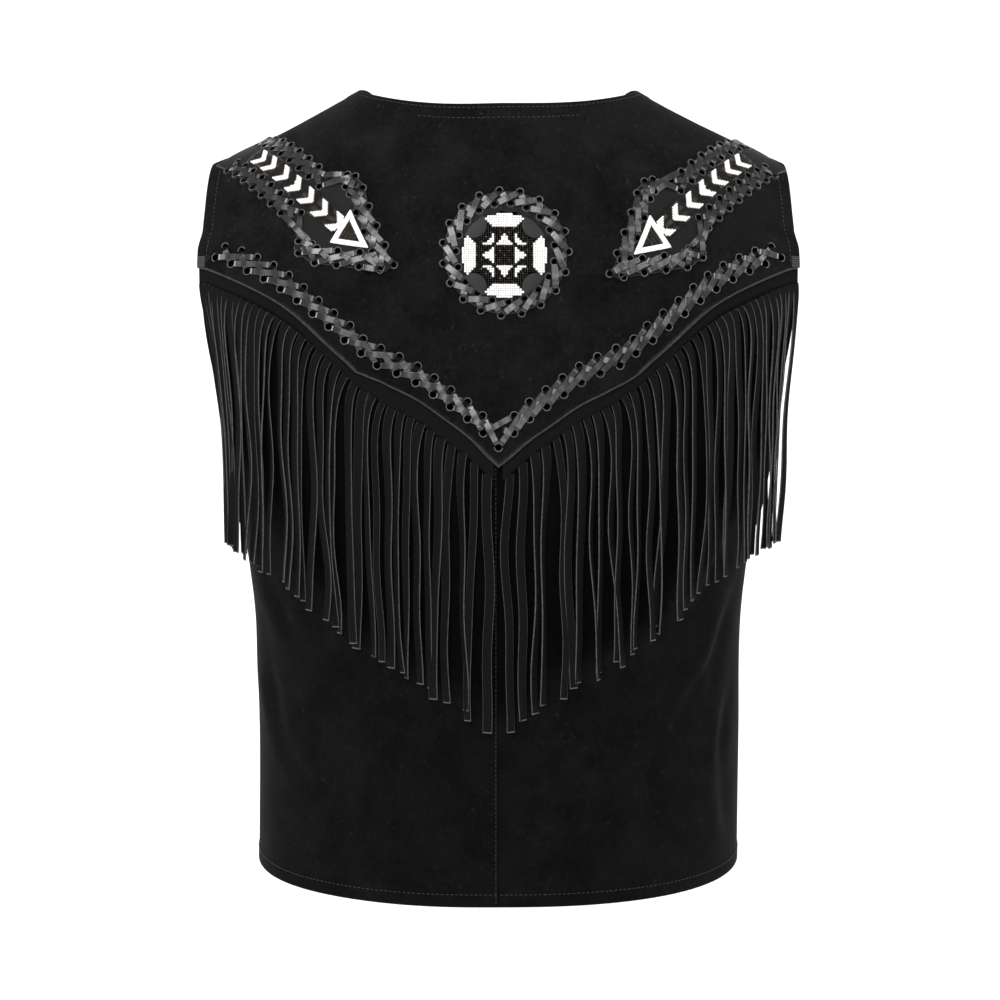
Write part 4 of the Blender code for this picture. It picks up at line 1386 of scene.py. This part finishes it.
    def dress(self) -> None:
        rng = np.random.default_rng(self.seeds[0 if self.hand is Hand.LEFT else 1])
        tracks = [self.strand(index, rng) for index in range(self.strands)]
        shares = np.linspace(self.start_share, self.end_share, 60)
        level = FIGURE.lowered(shares, FIGURE.yoke_level(shares), self.strip_show)
        line = FIGURE.surface(shares, level)[0]
        arc = float(gone_along(line)[-1])
        width = arc / self.strands * self.share
        name = f"fringe_{self.hand.word}_strands"
        cut = {"Width": width, "Thickness": self.thickness, "Finish": self.palette.strand}
        hanging = grown(name, self.growers.band, tracks_mesh(name, tracks), cut, crisp=CRISP)
        cut_ends = []
        for track in tracks:
            last = track.places[-1]
            way = unit(last - track.places[-2])
            places = np.array([last - way * self.end_pale, last + way * self.end_proud])
            cut_ends.append(Track(places, track.facing[-2:], track.girth[-2:] * 1.01))
        cut |= {"Thickness": self.thickness + 2.0 * self.end_proud, "Finish": self.palette.strand_end}
        ends = grown(f"{name}_ends", self.growers.band, tracks_mesh("cut_ends", cut_ends), cut, crisp=CRISP)
        strip = show("strip", self.strip(), [self.palette.strand])
        piece = joined(name, [hanging, ends, strip])
        declare(piece, f"fringe_suede_{self.hand.word}", f"fringe_{self.hand.word}")


# What lies on the yoke


@dataclass
class Ground:
    """The face that a piece lies on."""

    skin: BVHTree
    reach: float = 60.0 * MM

    def laid(self, place: Array, outward: Array, height: float) -> Array:
        """The point above the ground under a place.

        Args:
            place: Point near the ground.
            outward: Way out of the ground there.
            height: Height above the ground.

        Returns:
            The point.
        """
        start = Vector(place + outward * self.reach)
        spot = self.skin.ray_cast(start, Vector(-outward))[0]
        if spot is None:
            spot = self.skin.find_nearest(Vector(place))[0]
        return np.array(spot) + outward * height


@dataclass
class Spot:
    """A hole's place on the ground, with the way out there."""

    place: Array
    outward: Array


@dataclass
class Weave:
    """Flat lace woven between two rows of holes, in long bands and short ones that cross them."""

    near: Sequence[Spot]
    far: Sequence[Spot]
    ground: Ground
    closed: bool = False
    long_reach: int = 2
    short_reach: int = 1
    long_over: float = 1.0 / 3.0
    short_over: float | None = 1.0 / 3.0
    base: float = 0.15 * MM
    thickness: float = 0.8 * MM
    inset: float = 1.9 * MM
    stations: int = 25

    def _band(self, start: Spot, end: Spot, over: float | None) -> Track:
        """One band that comes up at a hole's edge, passes over another band and dips into a hole."""
        reach = end.place - start.place
        inset = unit(reach) * self.inset
        first = start.place + inset
        last = end.place - inset
        span = float(np.linalg.norm(last - first))
        parts = 0.5 - 0.5 * np.cos(np.linspace(0.0, math.pi, self.stations))
        low = self.base + 0.5 * self.thickness + 0.1 * MM
        places = []
        facing = []
        for part in parts:
            from_end = min(part, 1.0 - part) * span
            height = low
            if over is None:
                height -= 0.25 * self.thickness
            else:
                height += 1.1 * self.thickness * math.exp(-(((part - over) * span / (4.8 * MM)) ** 2))
            height -= (height - self.base + 0.7 * MM) * float(ease(2.3 * MM, 0.0, from_end))
            place = first * (1.0 - part) + last * part
            outward = unit(start.outward * (1.0 - part) + end.outward * part)
            places.append(self.ground.laid(place, outward, height))
            facing.append(outward)
        from_ends = np.minimum(parts, 1.0 - parts) * span
        girth = 0.84 + 0.16 * ease(0.2 * MM, 2.2 * MM, from_ends)
        return Track(np.array(places), np.array(facing), girth).squared()

    def _pairs(self) -> list[tuple[Spot, Spot, float | None]]:
        """Start and end hole of every band, and where it passes over another."""
        count = len(self.near)
        pairs = []
        for k in range(count):
            for rows, reach, over in (
                ((self.near, self.far), self.long_reach, self.long_over),
                ((self.far, self.near), self.short_reach, self.short_over),
            ):
                goal = k + reach
                if self.closed:
                    goal %= count
                if goal < count:
                    pairs.append((rows[0][k], rows[1][goal], over))
        return pairs

    def tracks(self) -> list[Track]:
        """Every band of the weave."""
        return [self._band(start, end, over) for start, end, over in self._pairs()]

    def holes(self, height: float, choose: Callable[[Spot], bool] | None = None) -> Mesh:
        """Points where holes are punched, each with the way that no band leaves it.

        Args:
            height: Height of the holes above the ground.
            choose: Picks the holes.

        Returns:
            A mesh of points.
        """
        spots = [*self.near, *self.far]
        away = {id(spot): np.zeros(3) for spot in spots}
        for start, end, _ in self._pairs():
            way = unit(end.place - start.place)
            away[id(start)] -= way
            away[id(end)] += way
        kept = [spot for spot in spots if choose is None or choose(spot)]
        places = [self.ground.laid(spot.place, spot.outward, height) for spot in kept]
        vectors = {
            "facing": np.array([spot.outward for spot in kept]),
            "away": unit(np.array([away[id(spot)] for spot in kept])),
        }
        return mesh_from("holes", np.array(places), [], vectors=vectors)


@dataclass(frozen=True)
class LaceCut:
    """Width of a flat lace and the sizes of the punched holes that it runs through."""

    width: float
    hole_radius: float = 1.9 * MM
    lip_reach: float = 2.5 * MM
    lip_radius: float = 0.27 * MM
    thickness: float = Weave.thickness

    def dress(
        self, name: str, tracks: Sequence[Track], holes: Mesh, palette: Palette, growers: Growers
    ) -> list[Object]:
        """Build a lace and the holes that it runs through.

        Args:
            name: Name of the lace.
            tracks: The lace's bands.
            holes: Points where the holes are.
            palette: The finishes.
            growers: The trees of nodes.

        Returns:
            The lace and the holes.
        """
        cut = {"Width": self.width, "Thickness": self.thickness, "Finish": palette.lace}
        lace = grown(name, growers.band, tracks_mesh(name, tracks), cut, crisp=CRISP)
        punch = {"Radius": self.hole_radius, "Reach": self.lip_reach, "Lip": self.lip_radius}
        # The lip's pale finish is partly painted highlight; the hole's inside is painted shade
        punch |= {"Finish": palette.lip, "Shade": palette.shade}
        return [lace, grown(f"{name}_holes", growers.hole, holes, punch)]


@dataclass
class Lacing:
    """Flat lace woven along the V of the yoke, through two rows of holes."""

    palette: Palette
    growers: Growers
    ground: Ground
    holes_an_arm: int = 17
    # Columns: share of the way round, how far the row of holes lies above the V edge, in mm
    low_row: Table = (
        (0.0, 14.2), (0.03, 16.0), (0.15, 16.8), (0.27, 17.4), (0.36, 14.2), (0.45, 15.2), (0.61, 12.6),
        (0.90, 11.7)
    )
    high_row: Table = (
        (0.0, 27.5), (0.15, 29.4), (0.28, 33.0), (0.38, 28.6), (0.57, 27.4), (0.71, 25.8), (0.78, 25.2),
        (0.86, 22.6)
    )
    last_low: float = 0.893
    last_high: float = 0.850
    hole_height: float = 0.12 * MM
    lace: LaceCut = LaceCut(4.5 * MM, 2.1 * MM, 2.85 * MM, 0.32 * MM)

    def row(self, rise: Table, last: float) -> list[Spot]:
        """Holes at even distances along one row, from the left end over the V's point to the right."""
        shares = np.linspace(0.0, last, 240)
        distance = between(rise, shares) * MM
        levels = FIGURE.lowered(shares, FIGURE.yoke_level(shares), -distance)
        line, outward = FIGURE.surface(shares, levels)
        gone = gone_along(line)
        spots = []
        for k in range(-self.holes_an_arm, self.holes_an_arm + 1):
            goal = gone[-1] * abs(k) / self.holes_an_arm
            place = at_distance(goal, gone, line)
            way = unit(at_distance(goal, gone, outward))
            if k < 0:
                place[0] = -place[0]
                way[0] = -way[0]
            spots.append(Spot(place, way))
        return spots

    def dress(self) -> None:
        near = self.row(self.low_row, self.last_low)
        far = self.row(self.high_row, self.last_high)
        weave = Weave(near, far, self.ground)
        tracks = weave.tracks()
        for hand in Hand:
            name = f"lace_{hand.word}_weave"
            right = hand is Hand.RIGHT
            chosen = [track for track in tracks if (track.places[:, 0].mean() >= 0.0) == right]
            holes = weave.holes(self.hole_height, lambda spot: (spot.place[0] >= -1e-6) == right)
            pieces = self.lace.dress(name, chosen, holes, self.palette, self.growers)
            declare(joined(name, pieces), f"lace_{hand.word}", f"lacing_{hand.word}")


@dataclass
class Beadwork:
    """Beads of each tone collected on an applique."""

    growers: Growers
    palette: Palette
    pitch: float
    row: tuple[float, float, float]
    white_share: float = 1.05
    dark_share: float = 0.87
    laid: dict[str, list[tuple[Array, Array]]] = field(default_factory=dict)

    def add(self, tone: str, place: Array, outward: Array) -> None:
        """Lay one bead."""
        self.laid.setdefault(tone, []).append((place, outward))

    def build(self, name: str) -> list[Object]:
        """Grow the beads of each tone."""
        pieces = []
        for tone, finish in self.palette.beads.items():
            if tone in self.laid:
                places, facing = (np.array(rows) for rows in zip(*self.laid[tone]))
                size = self.pitch * (self.white_share if tone == "white" else self.dark_share)
                values = {"Pitch": size, "Row": self.row, "Finish": finish}
                points = mesh_from(tone, places, [], vectors={"facing": facing})
                pieces.append(grown(f"{name}_{tone}", self.growers.bead, points, values))
        return pieces


@dataclass
class Rosette:
    """The round medallion: a scalloped leather plate, a laced rim and a beaded middle."""

    palette: Palette
    growers: Growers
    ground: Ground
    share: float = 0.0108
    level: float = -0.2487
    holes: int = 19
    first_hole: float = math.radians(76.5)
    hole_ring: float = 44.5 * MM
    inner_ring: float = 34.9 * MM
    inner_turn: float = 0.40
    lobe: float = 3.3 * MM
    plate_radius: float = 43.6 * MM
    plate: float = 1.3 * MM
    pad: float = 0.7 * MM
    bead: float = 1.62 * MM
    bead_ring: float = 18.4
    bead_u: float = -0.7 * MM
    bead_v: float = -2.4 * MM
    # In beads: places and radius of the four bare round bites, and the lens of leather in each
    bite: float = 13.65
    bite_radius: float = 6.3
    lens_inner: float = 6.05
    lens_outer: float = 19.6
    # In beads: white wedges at the rim, white points inside them, and curved hooks in the corners
    wedge_start: float = 12.5
    wedge_half: float = 4.9
    point_base: float = 4.5
    point_tip: float = 9.1
    point_slope: float = 0.70
    hook_start: float = 4.2
    hook_end: float = 9.4
    hook_corner: float = 3.6
    hook_bow: float = 6.1
    hook_spread: float = 3.9
    seat: float = 0.15 * MM
    foot: float = 0.12 * MM
    hole_height: float = 0.22 * MM
    lace: LaceCut = LaceCut(4.6 * MM)

    def __post_init__(self) -> None:
        """Set the plate's own axes."""
        azimuth = FIGURE.edge_azimuth(np.array(self.level)) * self.share
        self.centre = FIGURE.at(azimuth, np.array(self.level), Side.BACK)
        self.outward = FIGURE.normal(azimuth, np.array(self.level), Side.BACK)
        self.across = np.array([1.0, 0.0, 0.0])
        up = unit(np.cross(self.across, self.outward))
        self.up = up if up[2] > 0.0 else -up

    def spot(self, u: float, v: float, height: float) -> Array:
        """Point over the ground at a place on the plate."""
        return self.ground.laid(self.centre + self.across * u + self.up * v, self.outward, height)

    def polar(self, radius: float, turn: float) -> Spot:
        """A hole's place at a radius and an angle."""
        place = self.centre + (self.across * math.cos(turn) + self.up * math.sin(turn)) * radius
        return Spot(self.ground.laid(place, self.outward, 0.0), self.outward)

    def reach(self, turn: float) -> float:
        """Radius of the scalloped outline at an angle."""
        pitch = 2.0 * math.pi / self.holes
        off = (turn - self.first_hole + pitch / 2.0) % pitch - pitch / 2.0
        side = self.hole_ring * math.sin(off)
        if abs(side) >= self.lobe:
            return self.plate_radius
        return max(self.plate_radius, self.hole_ring * math.cos(off) + math.sqrt(self.lobe**2 - side**2))

    def plate_mesh(self) -> Mesh:
        """The leather plate with a pad under its beads, whose top is painted shade that shows between the
        beads.
        """
        turns = 2.0 * math.pi * np.arange(304) / 304
        # Share of the radius and how far the top has dropped there, as a share of the plate
        rings = [(share, 0.0) for share in (0.30, 0.62, 0.655, 0.68, 0.80, 0.94, 0.985)]
        rings += [(1.0, 0.25), (1.0, 0.7)]
        points = []
        for share, drop in rings:
            for turn in turns:
                radius = self.reach(turn) * share
                top = self.plate * (1.0 - drop) + self.seat + (self.pad if share < 0.66 else 0.0)
                points.append(self.spot(radius * math.cos(turn), radius * math.sin(turn), top))
        for share in (1.0, 0.5):
            for turn in turns:
                radius = self.reach(turn) * share
                points.append(self.spot(radius * math.cos(turn), radius * math.sin(turn), self.foot))
        hub = len(points)
        points += [self.spot(0.0, 0.0, self.plate + self.pad + self.seat), self.spot(0.0, 0.0, self.foot)]
        faces = []
        marks = []
        count = len(turns)
        loops = len(rings) + 2
        for k in range(count):
            n = (k + 1) % count
            # Mark 2, the pad under the beads, takes the painted shade black; mark 1 is the plate's cut edge
            faces.append((hub, k, n))
            marks.append(2)
            for ring in range(loops - 1):
                a = ring * count
                faces.append((a + k, a + count + k, a + count + n, a + n))
                marks.append(1 if ring in (6, 7, 8) else 2 if ring == 0 else 0)
            last = (loops - 1) * count
            faces.append((hub + 1, last + n, last + k))
            marks.append(0)
        return mesh_from("rosette_plate", np.array(points), faces, marks=marks)

    def tone(self, i: float, j: float) -> str | None:
        """Tone of the bead at a place counted in beads from the centre, or none where leather shows."""
        a = abs(i)
        b = abs(j)
        if math.hypot(i, j) > self.bead_ring:
            return None
        far = max(a, b)
        near = min(a, b)
        if far >= self.wedge_start and near <= self.wedge_half + (far - self.wedge_start):
            return "white"
        if math.hypot(a - self.bite, b - self.bite) < self.bite_radius:
            return None
        point = (self.point_tip - far) * self.point_slope + 0.3
        if self.point_base <= far <= self.point_tip and near <= point:
            return "white"
        hook = abs((a - self.hook_corner) * (b - self.hook_corner) - self.hook_bow)
        if far <= self.hook_end and near > self.hook_start and hook < self.hook_spread:
            return "white"
        return "bronze" if int(7 * i + 13 * j + i * j) % 4 == 0 else "black"

    def beads(self) -> Beadwork:
        """The bead field."""
        work = Beadwork(self.growers, self.palette, self.bead, (1.0, 0.0, 0.0))
        reach = int(self.bead_ring) + 1
        for j in range(-reach, reach + 1):
            for i in range(-reach, reach + 1):
                tone = self.tone(i, j)
                if tone is None:
                    continue
                height = self.plate + self.pad + self.seat + 0.42 * self.bead
                u = self.bead_u + i * self.bead
                work.add(tone, self.spot(u, self.bead_v + j * self.bead, height), self.outward)
        return work

    def lens(self, turn: float) -> Object:
        """One smooth leather patch between the beads and the rim, slightly crowned."""
        inner_centre = self.bite * math.sqrt(2.0) * self.bead
        inner_radius = self.lens_inner * self.bead
        outer_radius = self.lens_outer * self.bead
        cosine = (inner_centre**2 + outer_radius**2 - inner_radius**2) / (2.0 * inner_centre * outer_radius)
        half = math.acos(cosine)
        rows = []
        columns = 17
        for k in range(columns):
            angle = -half + 2.0 * half * k / (columns - 1)
            inside = inner_centre * math.cos(angle)
            inside -= math.sqrt(max(inner_radius**2 - (inner_centre * math.sin(angle)) ** 2, 0.0))
            column = []
            for m in range(7):
                part = m / 6.0
                radius = inside + (outer_radius - inside) * part
                crown = math.sin(math.pi * part) ** 0.6 * math.sin(math.pi * k / (columns - 1)) ** 0.6
                height = self.plate + self.pad + (0.12 + 0.35 * crown) * MM
                u = self.bead_u + radius * math.cos(turn + angle)
                column.append(self.spot(u, self.bead_v + radius * math.sin(turn + angle), height))
            rows.append(column)
        points = np.array(rows).reshape(-1, 3)
        return show("lens", mesh_from("lens", points, grid_faces(columns, 7)), [self.palette.lens])

    def dress(self) -> None:
        pitch = 2.0 * math.pi / self.holes
        turns = [self.first_hole + pitch * k for k in range(self.holes)]
        near = [self.polar(self.hole_ring, turn) for turn in turns]
        far = [self.polar(self.inner_ring, turn + pitch * self.inner_turn) for turn in turns]
        weave = Weave(
            near, far, self.ground, closed=True, long_reach=1, long_over=0.5, short_over=None,
            base=self.plate + 0.2 * MM, inset=1.2 * MM
        )
        pieces = self.beads().build("rosette")
        finishes = [self.palette.plate, self.palette.rim, self.palette.shade]
        pieces.append(show("plate", self.plate_mesh(), finishes))
        holes = weave.holes(self.plate + self.hole_height)
        pieces += self.lace.dress("rosette_lace", weave.tracks(), holes, self.palette, self.growers)
        pieces += [self.lens(math.radians(45.0 + 90.0 * k)) for k in range(4)]
        declare(joined("rosette_applique_work", pieces), "rosette_applique", "rosette")


@dataclass
class Arrow:
    """A leather arrow: laced rim, beaded head and a shaft of white chevrons."""

    palette: Palette
    growers: Growers
    ground: Ground
    hand: Hand
    axis: Table
    plate: float = 1.3 * MM
    bead: float = 1.40 * MM
    lobe: float = 3.3 * MM
    hole_inset: float = 3.0 * MM
    row_gap: float = 10.4 * MM
    shaft_pitch: float = 12.4 * MM
    head_pitch: float = 16.0 * MM
    head_end: float = 60.0 * MM
    skew: float = -0.15
    band_half: float = 9.0 * MM
    chevron_turn: float = math.radians(47.0)
    chevron_half: float = 6.5 * MM
    chevron_depth: float = 4.2 * MM
    # Outline of one side from the tail to the tip: distance from the tip and half width, in mm
    outline: Table = ((184.0, 24.0), (120.0, 24.5), (76.0, 24.5), (71.0, 37.0), (56.0, 37.0), (-1.5, 3.0))
    # Apex of each chevron, in mm from the tip
    chevrons: Sequence[float] = (47.5, 63.0, 78.5, 94.5, 109.5, 126.0, 140.5)
    head_base: float = 50.5 * MM
    head_tip: float = 23.5 * MM
    head_half: float = 13.8 * MM
    rim_rows_in: Sequence[float] = (0.6, 1.8, 3.0)
    rim_step: float = 1.2 * MM
    band_end: float = 156.0 * MM
    field_end: float = 168.0 * MM
    seat: float = 0.15 * MM
    foot: float = 0.12 * MM
    hole_height: float = 0.22 * MM
    lace: LaceCut = LaceCut(4.4 * MM)

    def __post_init__(self) -> None:
        """Measure the axis."""
        first, middle, last = (np.array(row) for row in self.axis)
        way = np.linspace(0.0, 1.0, 301)[:, None]
        course = 2.0 * (way - 0.5) * (way - 1.0) * first
        course = course + 4.0 * way * (1.0 - way) * middle + 2.0 * way * (way - 0.5) * last
        self.line, self.out = FIGURE.surface(course[:, 0], course[:, 1])
        self.gone = gone_along(self.line)
        self.length = float(self.gone[-1])

    def local(self, s: float, t: float) -> Spot:
        """Place at a distance along the axis from the tip and a distance across it."""
        held = min(max(s, 0.0), self.length)
        place = at_distance(held, self.gone, self.line)
        outward = unit(at_distance(held, self.gone, self.out))
        ahead = at_distance(min(held + 1.0 * MM, self.length), self.gone, self.line)
        along = unit(ahead - at_distance(max(held - 1.0 * MM, 0.0), self.gone, self.line))
        across = unit(np.cross(outward, along))
        place = place + along * (s - held) + across * t
        mirror = np.array([self.hand.value, 1.0, 1.0])
        return Spot(place * mirror, outward * mirror)

    def spot(self, s: float, t: float, height: float) -> Array:
        """Point over the ground at a place of the arrow."""
        here = self.local(s, t)
        return self.ground.laid(here.place, here.outward, height)

    def rim_rows(self) -> tuple[list[Pair], list[Pair]]:
        """Places of the outer and inner rows of holes, from one tail corner round the tip to the other."""
        one = [(s * MM, t * MM) for s, t in self.outline]
        path = np.array([(s - self.skew * t, t) for s, t in one + [(s, -t) for s, t in one[::-1]]])
        fine = []
        for a, b in zip(path[:-1], path[1:]):
            fine += [a + (b - a) * k / 40.0 for k in range(40)]
        fine = np.array(fine + [path[-1]])
        kernel = np.ones(15) / 15.0
        padded = np.vstack([np.repeat(fine[:1], 7, axis=0), fine, np.repeat(fine[-1:], 7, axis=0)])
        fine = np.stack([np.convolve(padded[:, axis], kernel, mode="valid") for axis in range(2)], axis=1)
        gone = gone_along(fine)
        pitch = np.where(fine[:, 0] < self.head_end, self.head_pitch, self.shaft_pitch)
        turns = np.concatenate([[0.0], np.cumsum(np.diff(gone) / pitch[1:])])
        middle = float(np.interp(0.5 * gone[-1], gone, turns))
        reach = int(min(middle, turns[-1] - middle) - 0.3)
        goals = np.interp(middle + np.arange(-reach, reach + 1), turns, gone)
        along = unit(np.gradient(fine, axis=0))
        inward = np.stack([along[:, 1], -along[:, 0]], axis=1)
        if inward[5, 1] > 0.0:
            inward = -inward
        outer = []
        inner = []
        for goal in goals:
            place = at_distance(goal, gone, fine)
            way = unit(at_distance(goal, gone, inward))
            outer.append(tuple(place + way * self.hole_inset))
            inner.append(tuple(place + way * (self.hole_inset + self.row_gap)))
        step = -1 if self.hand is Hand.LEFT else 1
        return outer[::step], inner[::step]

    def half_width(self, s: float, side: float, holes: Sequence[Pair]) -> float:
        """Half width of the plate at a distance from the tip, with a lobe round each hole."""
        rows = sorted(self.outline)
        straight = (s + side * self.skew * 30.0 * MM) / MM
        half = float(between(rows, straight)) * MM - 3.0 * MM
        if s < 3.0 * MM:
            half = 0.5 * MM
        for place, across in holes:
            if across * side > 0.0 or abs(across) < 2.0 * MM:
                off = s - place
                if abs(off) < self.lobe:
                    half = max(half, across * side + math.sqrt(self.lobe**2 - off**2))
        return half

    def plate_mesh(self, holes: Sequence[Pair]) -> Mesh:
        """The leather plate."""
        tip = min(place for place, _ in holes) - self.lobe * 0.98
        tail = self.outline[0][0] * MM
        stations = np.linspace(tip, tail, 170)
        parts = (-1.0, -1.0, -0.97, -0.9, -0.75, -0.5, -0.25, 0.0, 0.25, 0.5, 0.75, 0.9, 0.97, 1.0, 1.0)
        # The outer edge of the top, its rounded shoulder, and the flat between
        heights = (0.3, 0.75, *[1.0] * (len(parts) - 4), 0.75, 0.3)
        top = []
        low = []
        for s in stations:
            left = self.half_width(s, -1.0, holes)
            right = self.half_width(s, 1.0, holes)
            for part, share in zip(parts, heights):
                t = part * (right if part > 0.0 else left)
                top.append(self.spot(s, t, share * self.plate + self.seat))
                low.append(self.spot(s, t, self.foot))
        rows = len(stations)
        columns = len(parts)
        faces = slab_faces(rows, columns, self.hand is Hand.RIGHT)
        top_count = (rows - 1) * (columns - 1)
        rims = (0, 1, columns - 3, columns - 2)
        marks = [1 if k % (columns - 1) in rims else 0 for k in range(top_count)]
        marks += [0] * top_count + [1] * (len(faces) - 2 * top_count)
        return mesh_from("arrow_plate", np.array(top + low), faces, marks=marks)

    def tone(self, s: float, t: float) -> str | None:
        """Tone of the bead at a place, or none where leather shows."""
        across = abs(t)
        base = self.head_base - self.skew * t
        if self.head_tip - 3.0 * MM <= s <= base + 1.0 * MM:
            slope = self.head_half / (self.head_base - self.head_tip)
            inside = (s - self.head_tip) * slope - across
            inside = inside / math.hypot(1.0, slope)
            rim = min(inside, base - s)
            if rim > 0.0:
                if rim < (self.rim_rows_in[-1] + 1.0) * MM:
                    return None
                return "bronze" if (round(s / self.bead) + round(t / self.bead)) % 2 == 0 else "black"
        if s <= base:
            return None
        cosine = math.cos(self.chevron_turn)
        sine = math.sin(self.chevron_turn)
        for apex in self.chevrons:
            depth = (s - apex * MM) * sine - across * cosine
            if -0.2 * MM <= depth <= self.chevron_depth and across <= self.chevron_half:
                return "white"
        if across <= self.band_half and s <= self.band_end:
            row = round(s / self.bead)
            return "bronze" if (7 * row + 13 * round(t / self.bead) + row % 5) % 4 == 0 else "black"
        return None

    def beads(self) -> Beadwork:
        """The beads of the head and the shaft."""
        middle, ahead = (self.local(s * MM, 0.0).place for s in (80.0, 90.0))
        work = Beadwork(self.growers, self.palette, self.bead, tuple(unit(ahead - middle)))
        height = self.plate + 0.35 * MM + 0.42 * self.bead
        for k in range(int(self.field_end / self.bead)):
            s = k * self.bead
            for m in range(-12, 12):
                t = (m + 0.5) * self.bead
                tone = self.tone(s, t)
                if tone is not None:
                    work.add(tone, self.spot(s, t, height), self.local(s, t).outward)
        lag = self.skew * self.head_half
        left = (self.head_base + lag, -self.head_half)
        corners = np.array([(self.head_tip, 0.0), (self.head_base - lag, self.head_half), left])
        sides = np.linalg.norm(np.roll(corners, -1, axis=0) - corners, axis=1)
        weights = np.roll(sides, -1)
        centre = (corners * weights[:, None]).sum(axis=0) / weights.sum()
        one, other = corners[1:] - corners[0]
        area = 0.5 * abs(one[0] * other[1] - one[1] * other[0])
        for inset in self.rim_rows_in:
            ring = centre + (corners - centre) * (1.0 - inset * MM * sides.sum() / (2.0 * area))
            for a, b in zip(ring, np.roll(ring, -1, axis=0)):
                count = max(int(np.linalg.norm(b - a) / self.rim_step), 1)
                for k in range(count):
                    s, t = a + (b - a) * k / count
                    work.add("white", self.spot(s, t, height), self.local(s, t).outward)
        return work

    def dress(self) -> None:
        outer, inner = self.rim_rows()
        near, far = ([self._on_ground(*place) for place in row] for row in (outer, inner))
        name = f"arrow_{self.hand.word}_work"
        pieces = self.beads().build(name)
        pieces.append(show("plate", self.plate_mesh(outer), [self.palette.plate, self.palette.rim]))
        weave = Weave(near, far, self.ground, base=self.plate + 0.2 * MM)
        holes = weave.holes(self.plate + self.hole_height)
        pieces += self.lace.dress(f"{name}_lace", weave.tracks(), holes, self.palette, self.growers)
        declare(joined(name, pieces), f"arrow_applique_{self.hand.word}", f"arrow_{self.hand.word}")

    def _on_ground(self, s: float, t: float) -> Spot:
        """A hole's place set down on the ground."""
        here = self.local(s, t)
        return Spot(self.ground.laid(here.place, here.outward, 0.0), here.outward)


ARROW_AXES = {
    Hand.LEFT: ((0.2434, -0.2326), (0.5454, -0.5082), (0.8575, -0.9587)),
    Hand.RIGHT: ((0.2623, -0.2146), (0.5590, -0.4995), (0.8898, -0.9338)),
}


# Studio


@dataclass
class Studio:
    """A pale sweep, soft boxes and the camera."""

    floor_z: float = -1.30
    wall_y: float = 2.30
    bend: float = 0.9
    half_width: float = 5.0
    near_y: float = -5.0
    wall_top: float = 3.4
    camera_place: tuple[float, float, float] = (0.0, -1.75, 0.028)
    camera_tilt: float = math.radians(80.0)
    camera_lens: float = 83.34
    camera_shift: float = 0.0015
    surround: float = 0.28

    def sweep(self) -> None:
        """The floor that curves up behind the vest."""
        profile = [(self.near_y, self.floor_z)]
        for k in range(25):
            turn = math.pi / 2.0 * k / 24
            y = self.wall_y - self.bend + self.bend * math.sin(turn)
            profile.append((y, self.floor_z + self.bend - self.bend * math.cos(turn)))
        profile.append((self.wall_y, self.wall_top))
        points = [(x, y, z) for y, z in profile for x in np.linspace(-self.half_width, self.half_width, 5)]
        mesh = mesh_from("floor", np.array(points), grid_faces(len(profile), 5))
        floor = show("floor", mesh, [Paper().make()])

    def lights(self) -> None:
        """Soft boxes and an even white surround."""
        # Columns: name, place, what it looks at, width, height, power
        boxes = (
            ("key_box", (-0.7, -1.9, 1.6), (0.0, 0.0, -0.2), 1.1, 1.1, 36.0),
            ("front_box", (-0.25, -2.15, 0.35), (0.0, 0.0, -0.25), 0.8, 1.0, 14.0),
            ("fill_box", (1.4, -1.9, 1.0), (0.0, 0.0, -0.25), 0.9, 0.9, 10.0),
            ("top_box", (0.0, -0.5, 2.0), (0.0, 0.0, 0.0), 1.4, 0.7, 14.0),
            ("backdrop_box_left", (-2.8, 0.4, 0.6), (-0.3, 2.3, -0.2), 1.5, 1.5, 66.0),
            ("backdrop_box_right", (2.8, 0.4, 0.6), (0.3, 2.3, -0.2), 1.5, 1.5, 66.0),
        )
        for name, place, goal, width, height, power in boxes:
            light = bpy.data.lights.new(name, "AREA")
            light.shape = "RECTANGLE"
            light.size = width
            light.size_y = height
            light.energy = power
            lamp = link(name, light)
            lamp.location = place
            lamp.rotation_euler = (Vector(goal) - Vector(place)).to_track_quat("-Z", "Y").to_euler()
        world = bpy.data.worlds.new("white_studio")
        world.use_nodes = True
        back = world.node_tree.nodes["Background"]
        back.inputs[0].default_value = (1.0, 1.0, 1.0, 1.0)
        back.inputs[1].default_value = self.surround
        bpy.context.scene.world = world

    def camera(self) -> None:
        """The camera behind the vest, a little above it."""
        lens = bpy.data.cameras.new("camera")
        lens.sensor_width = 36.0
        lens.lens = self.camera_lens
        lens.shift_x = self.camera_shift
        camera = link("camera", lens)
        camera.location = self.camera_place
        camera.rotation_euler = (self.camera_tilt, 0.0, 0.0)
        bpy.context.scene.camera = camera

    def build(self) -> None:
        """Set up the studio."""
        self.sweep()
        self.lights()
        self.camera()
        bpy.context.scene.view_settings.view_transform = "Standard"


def main() -> None:
    """Dress the vest."""
    logging.basicConfig(level=logging.INFO, format="%(message)s")
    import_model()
    Studio().build()
    palette = Palette()
    growers = Growers()
    ground = Ground(Suedework(palette, growers).dress().skin)
    for hand in Hand:
        Fringe(palette, growers, hand).dress()
        Arrow(palette, growers, ground, hand, ARROW_AXES[hand]).dress()
    Lacing(palette, growers, ground).dress()
    Rosette(palette, growers, ground).dress()
    LOG.info("vest dressed")


if __name__ == "__main__":
    main()
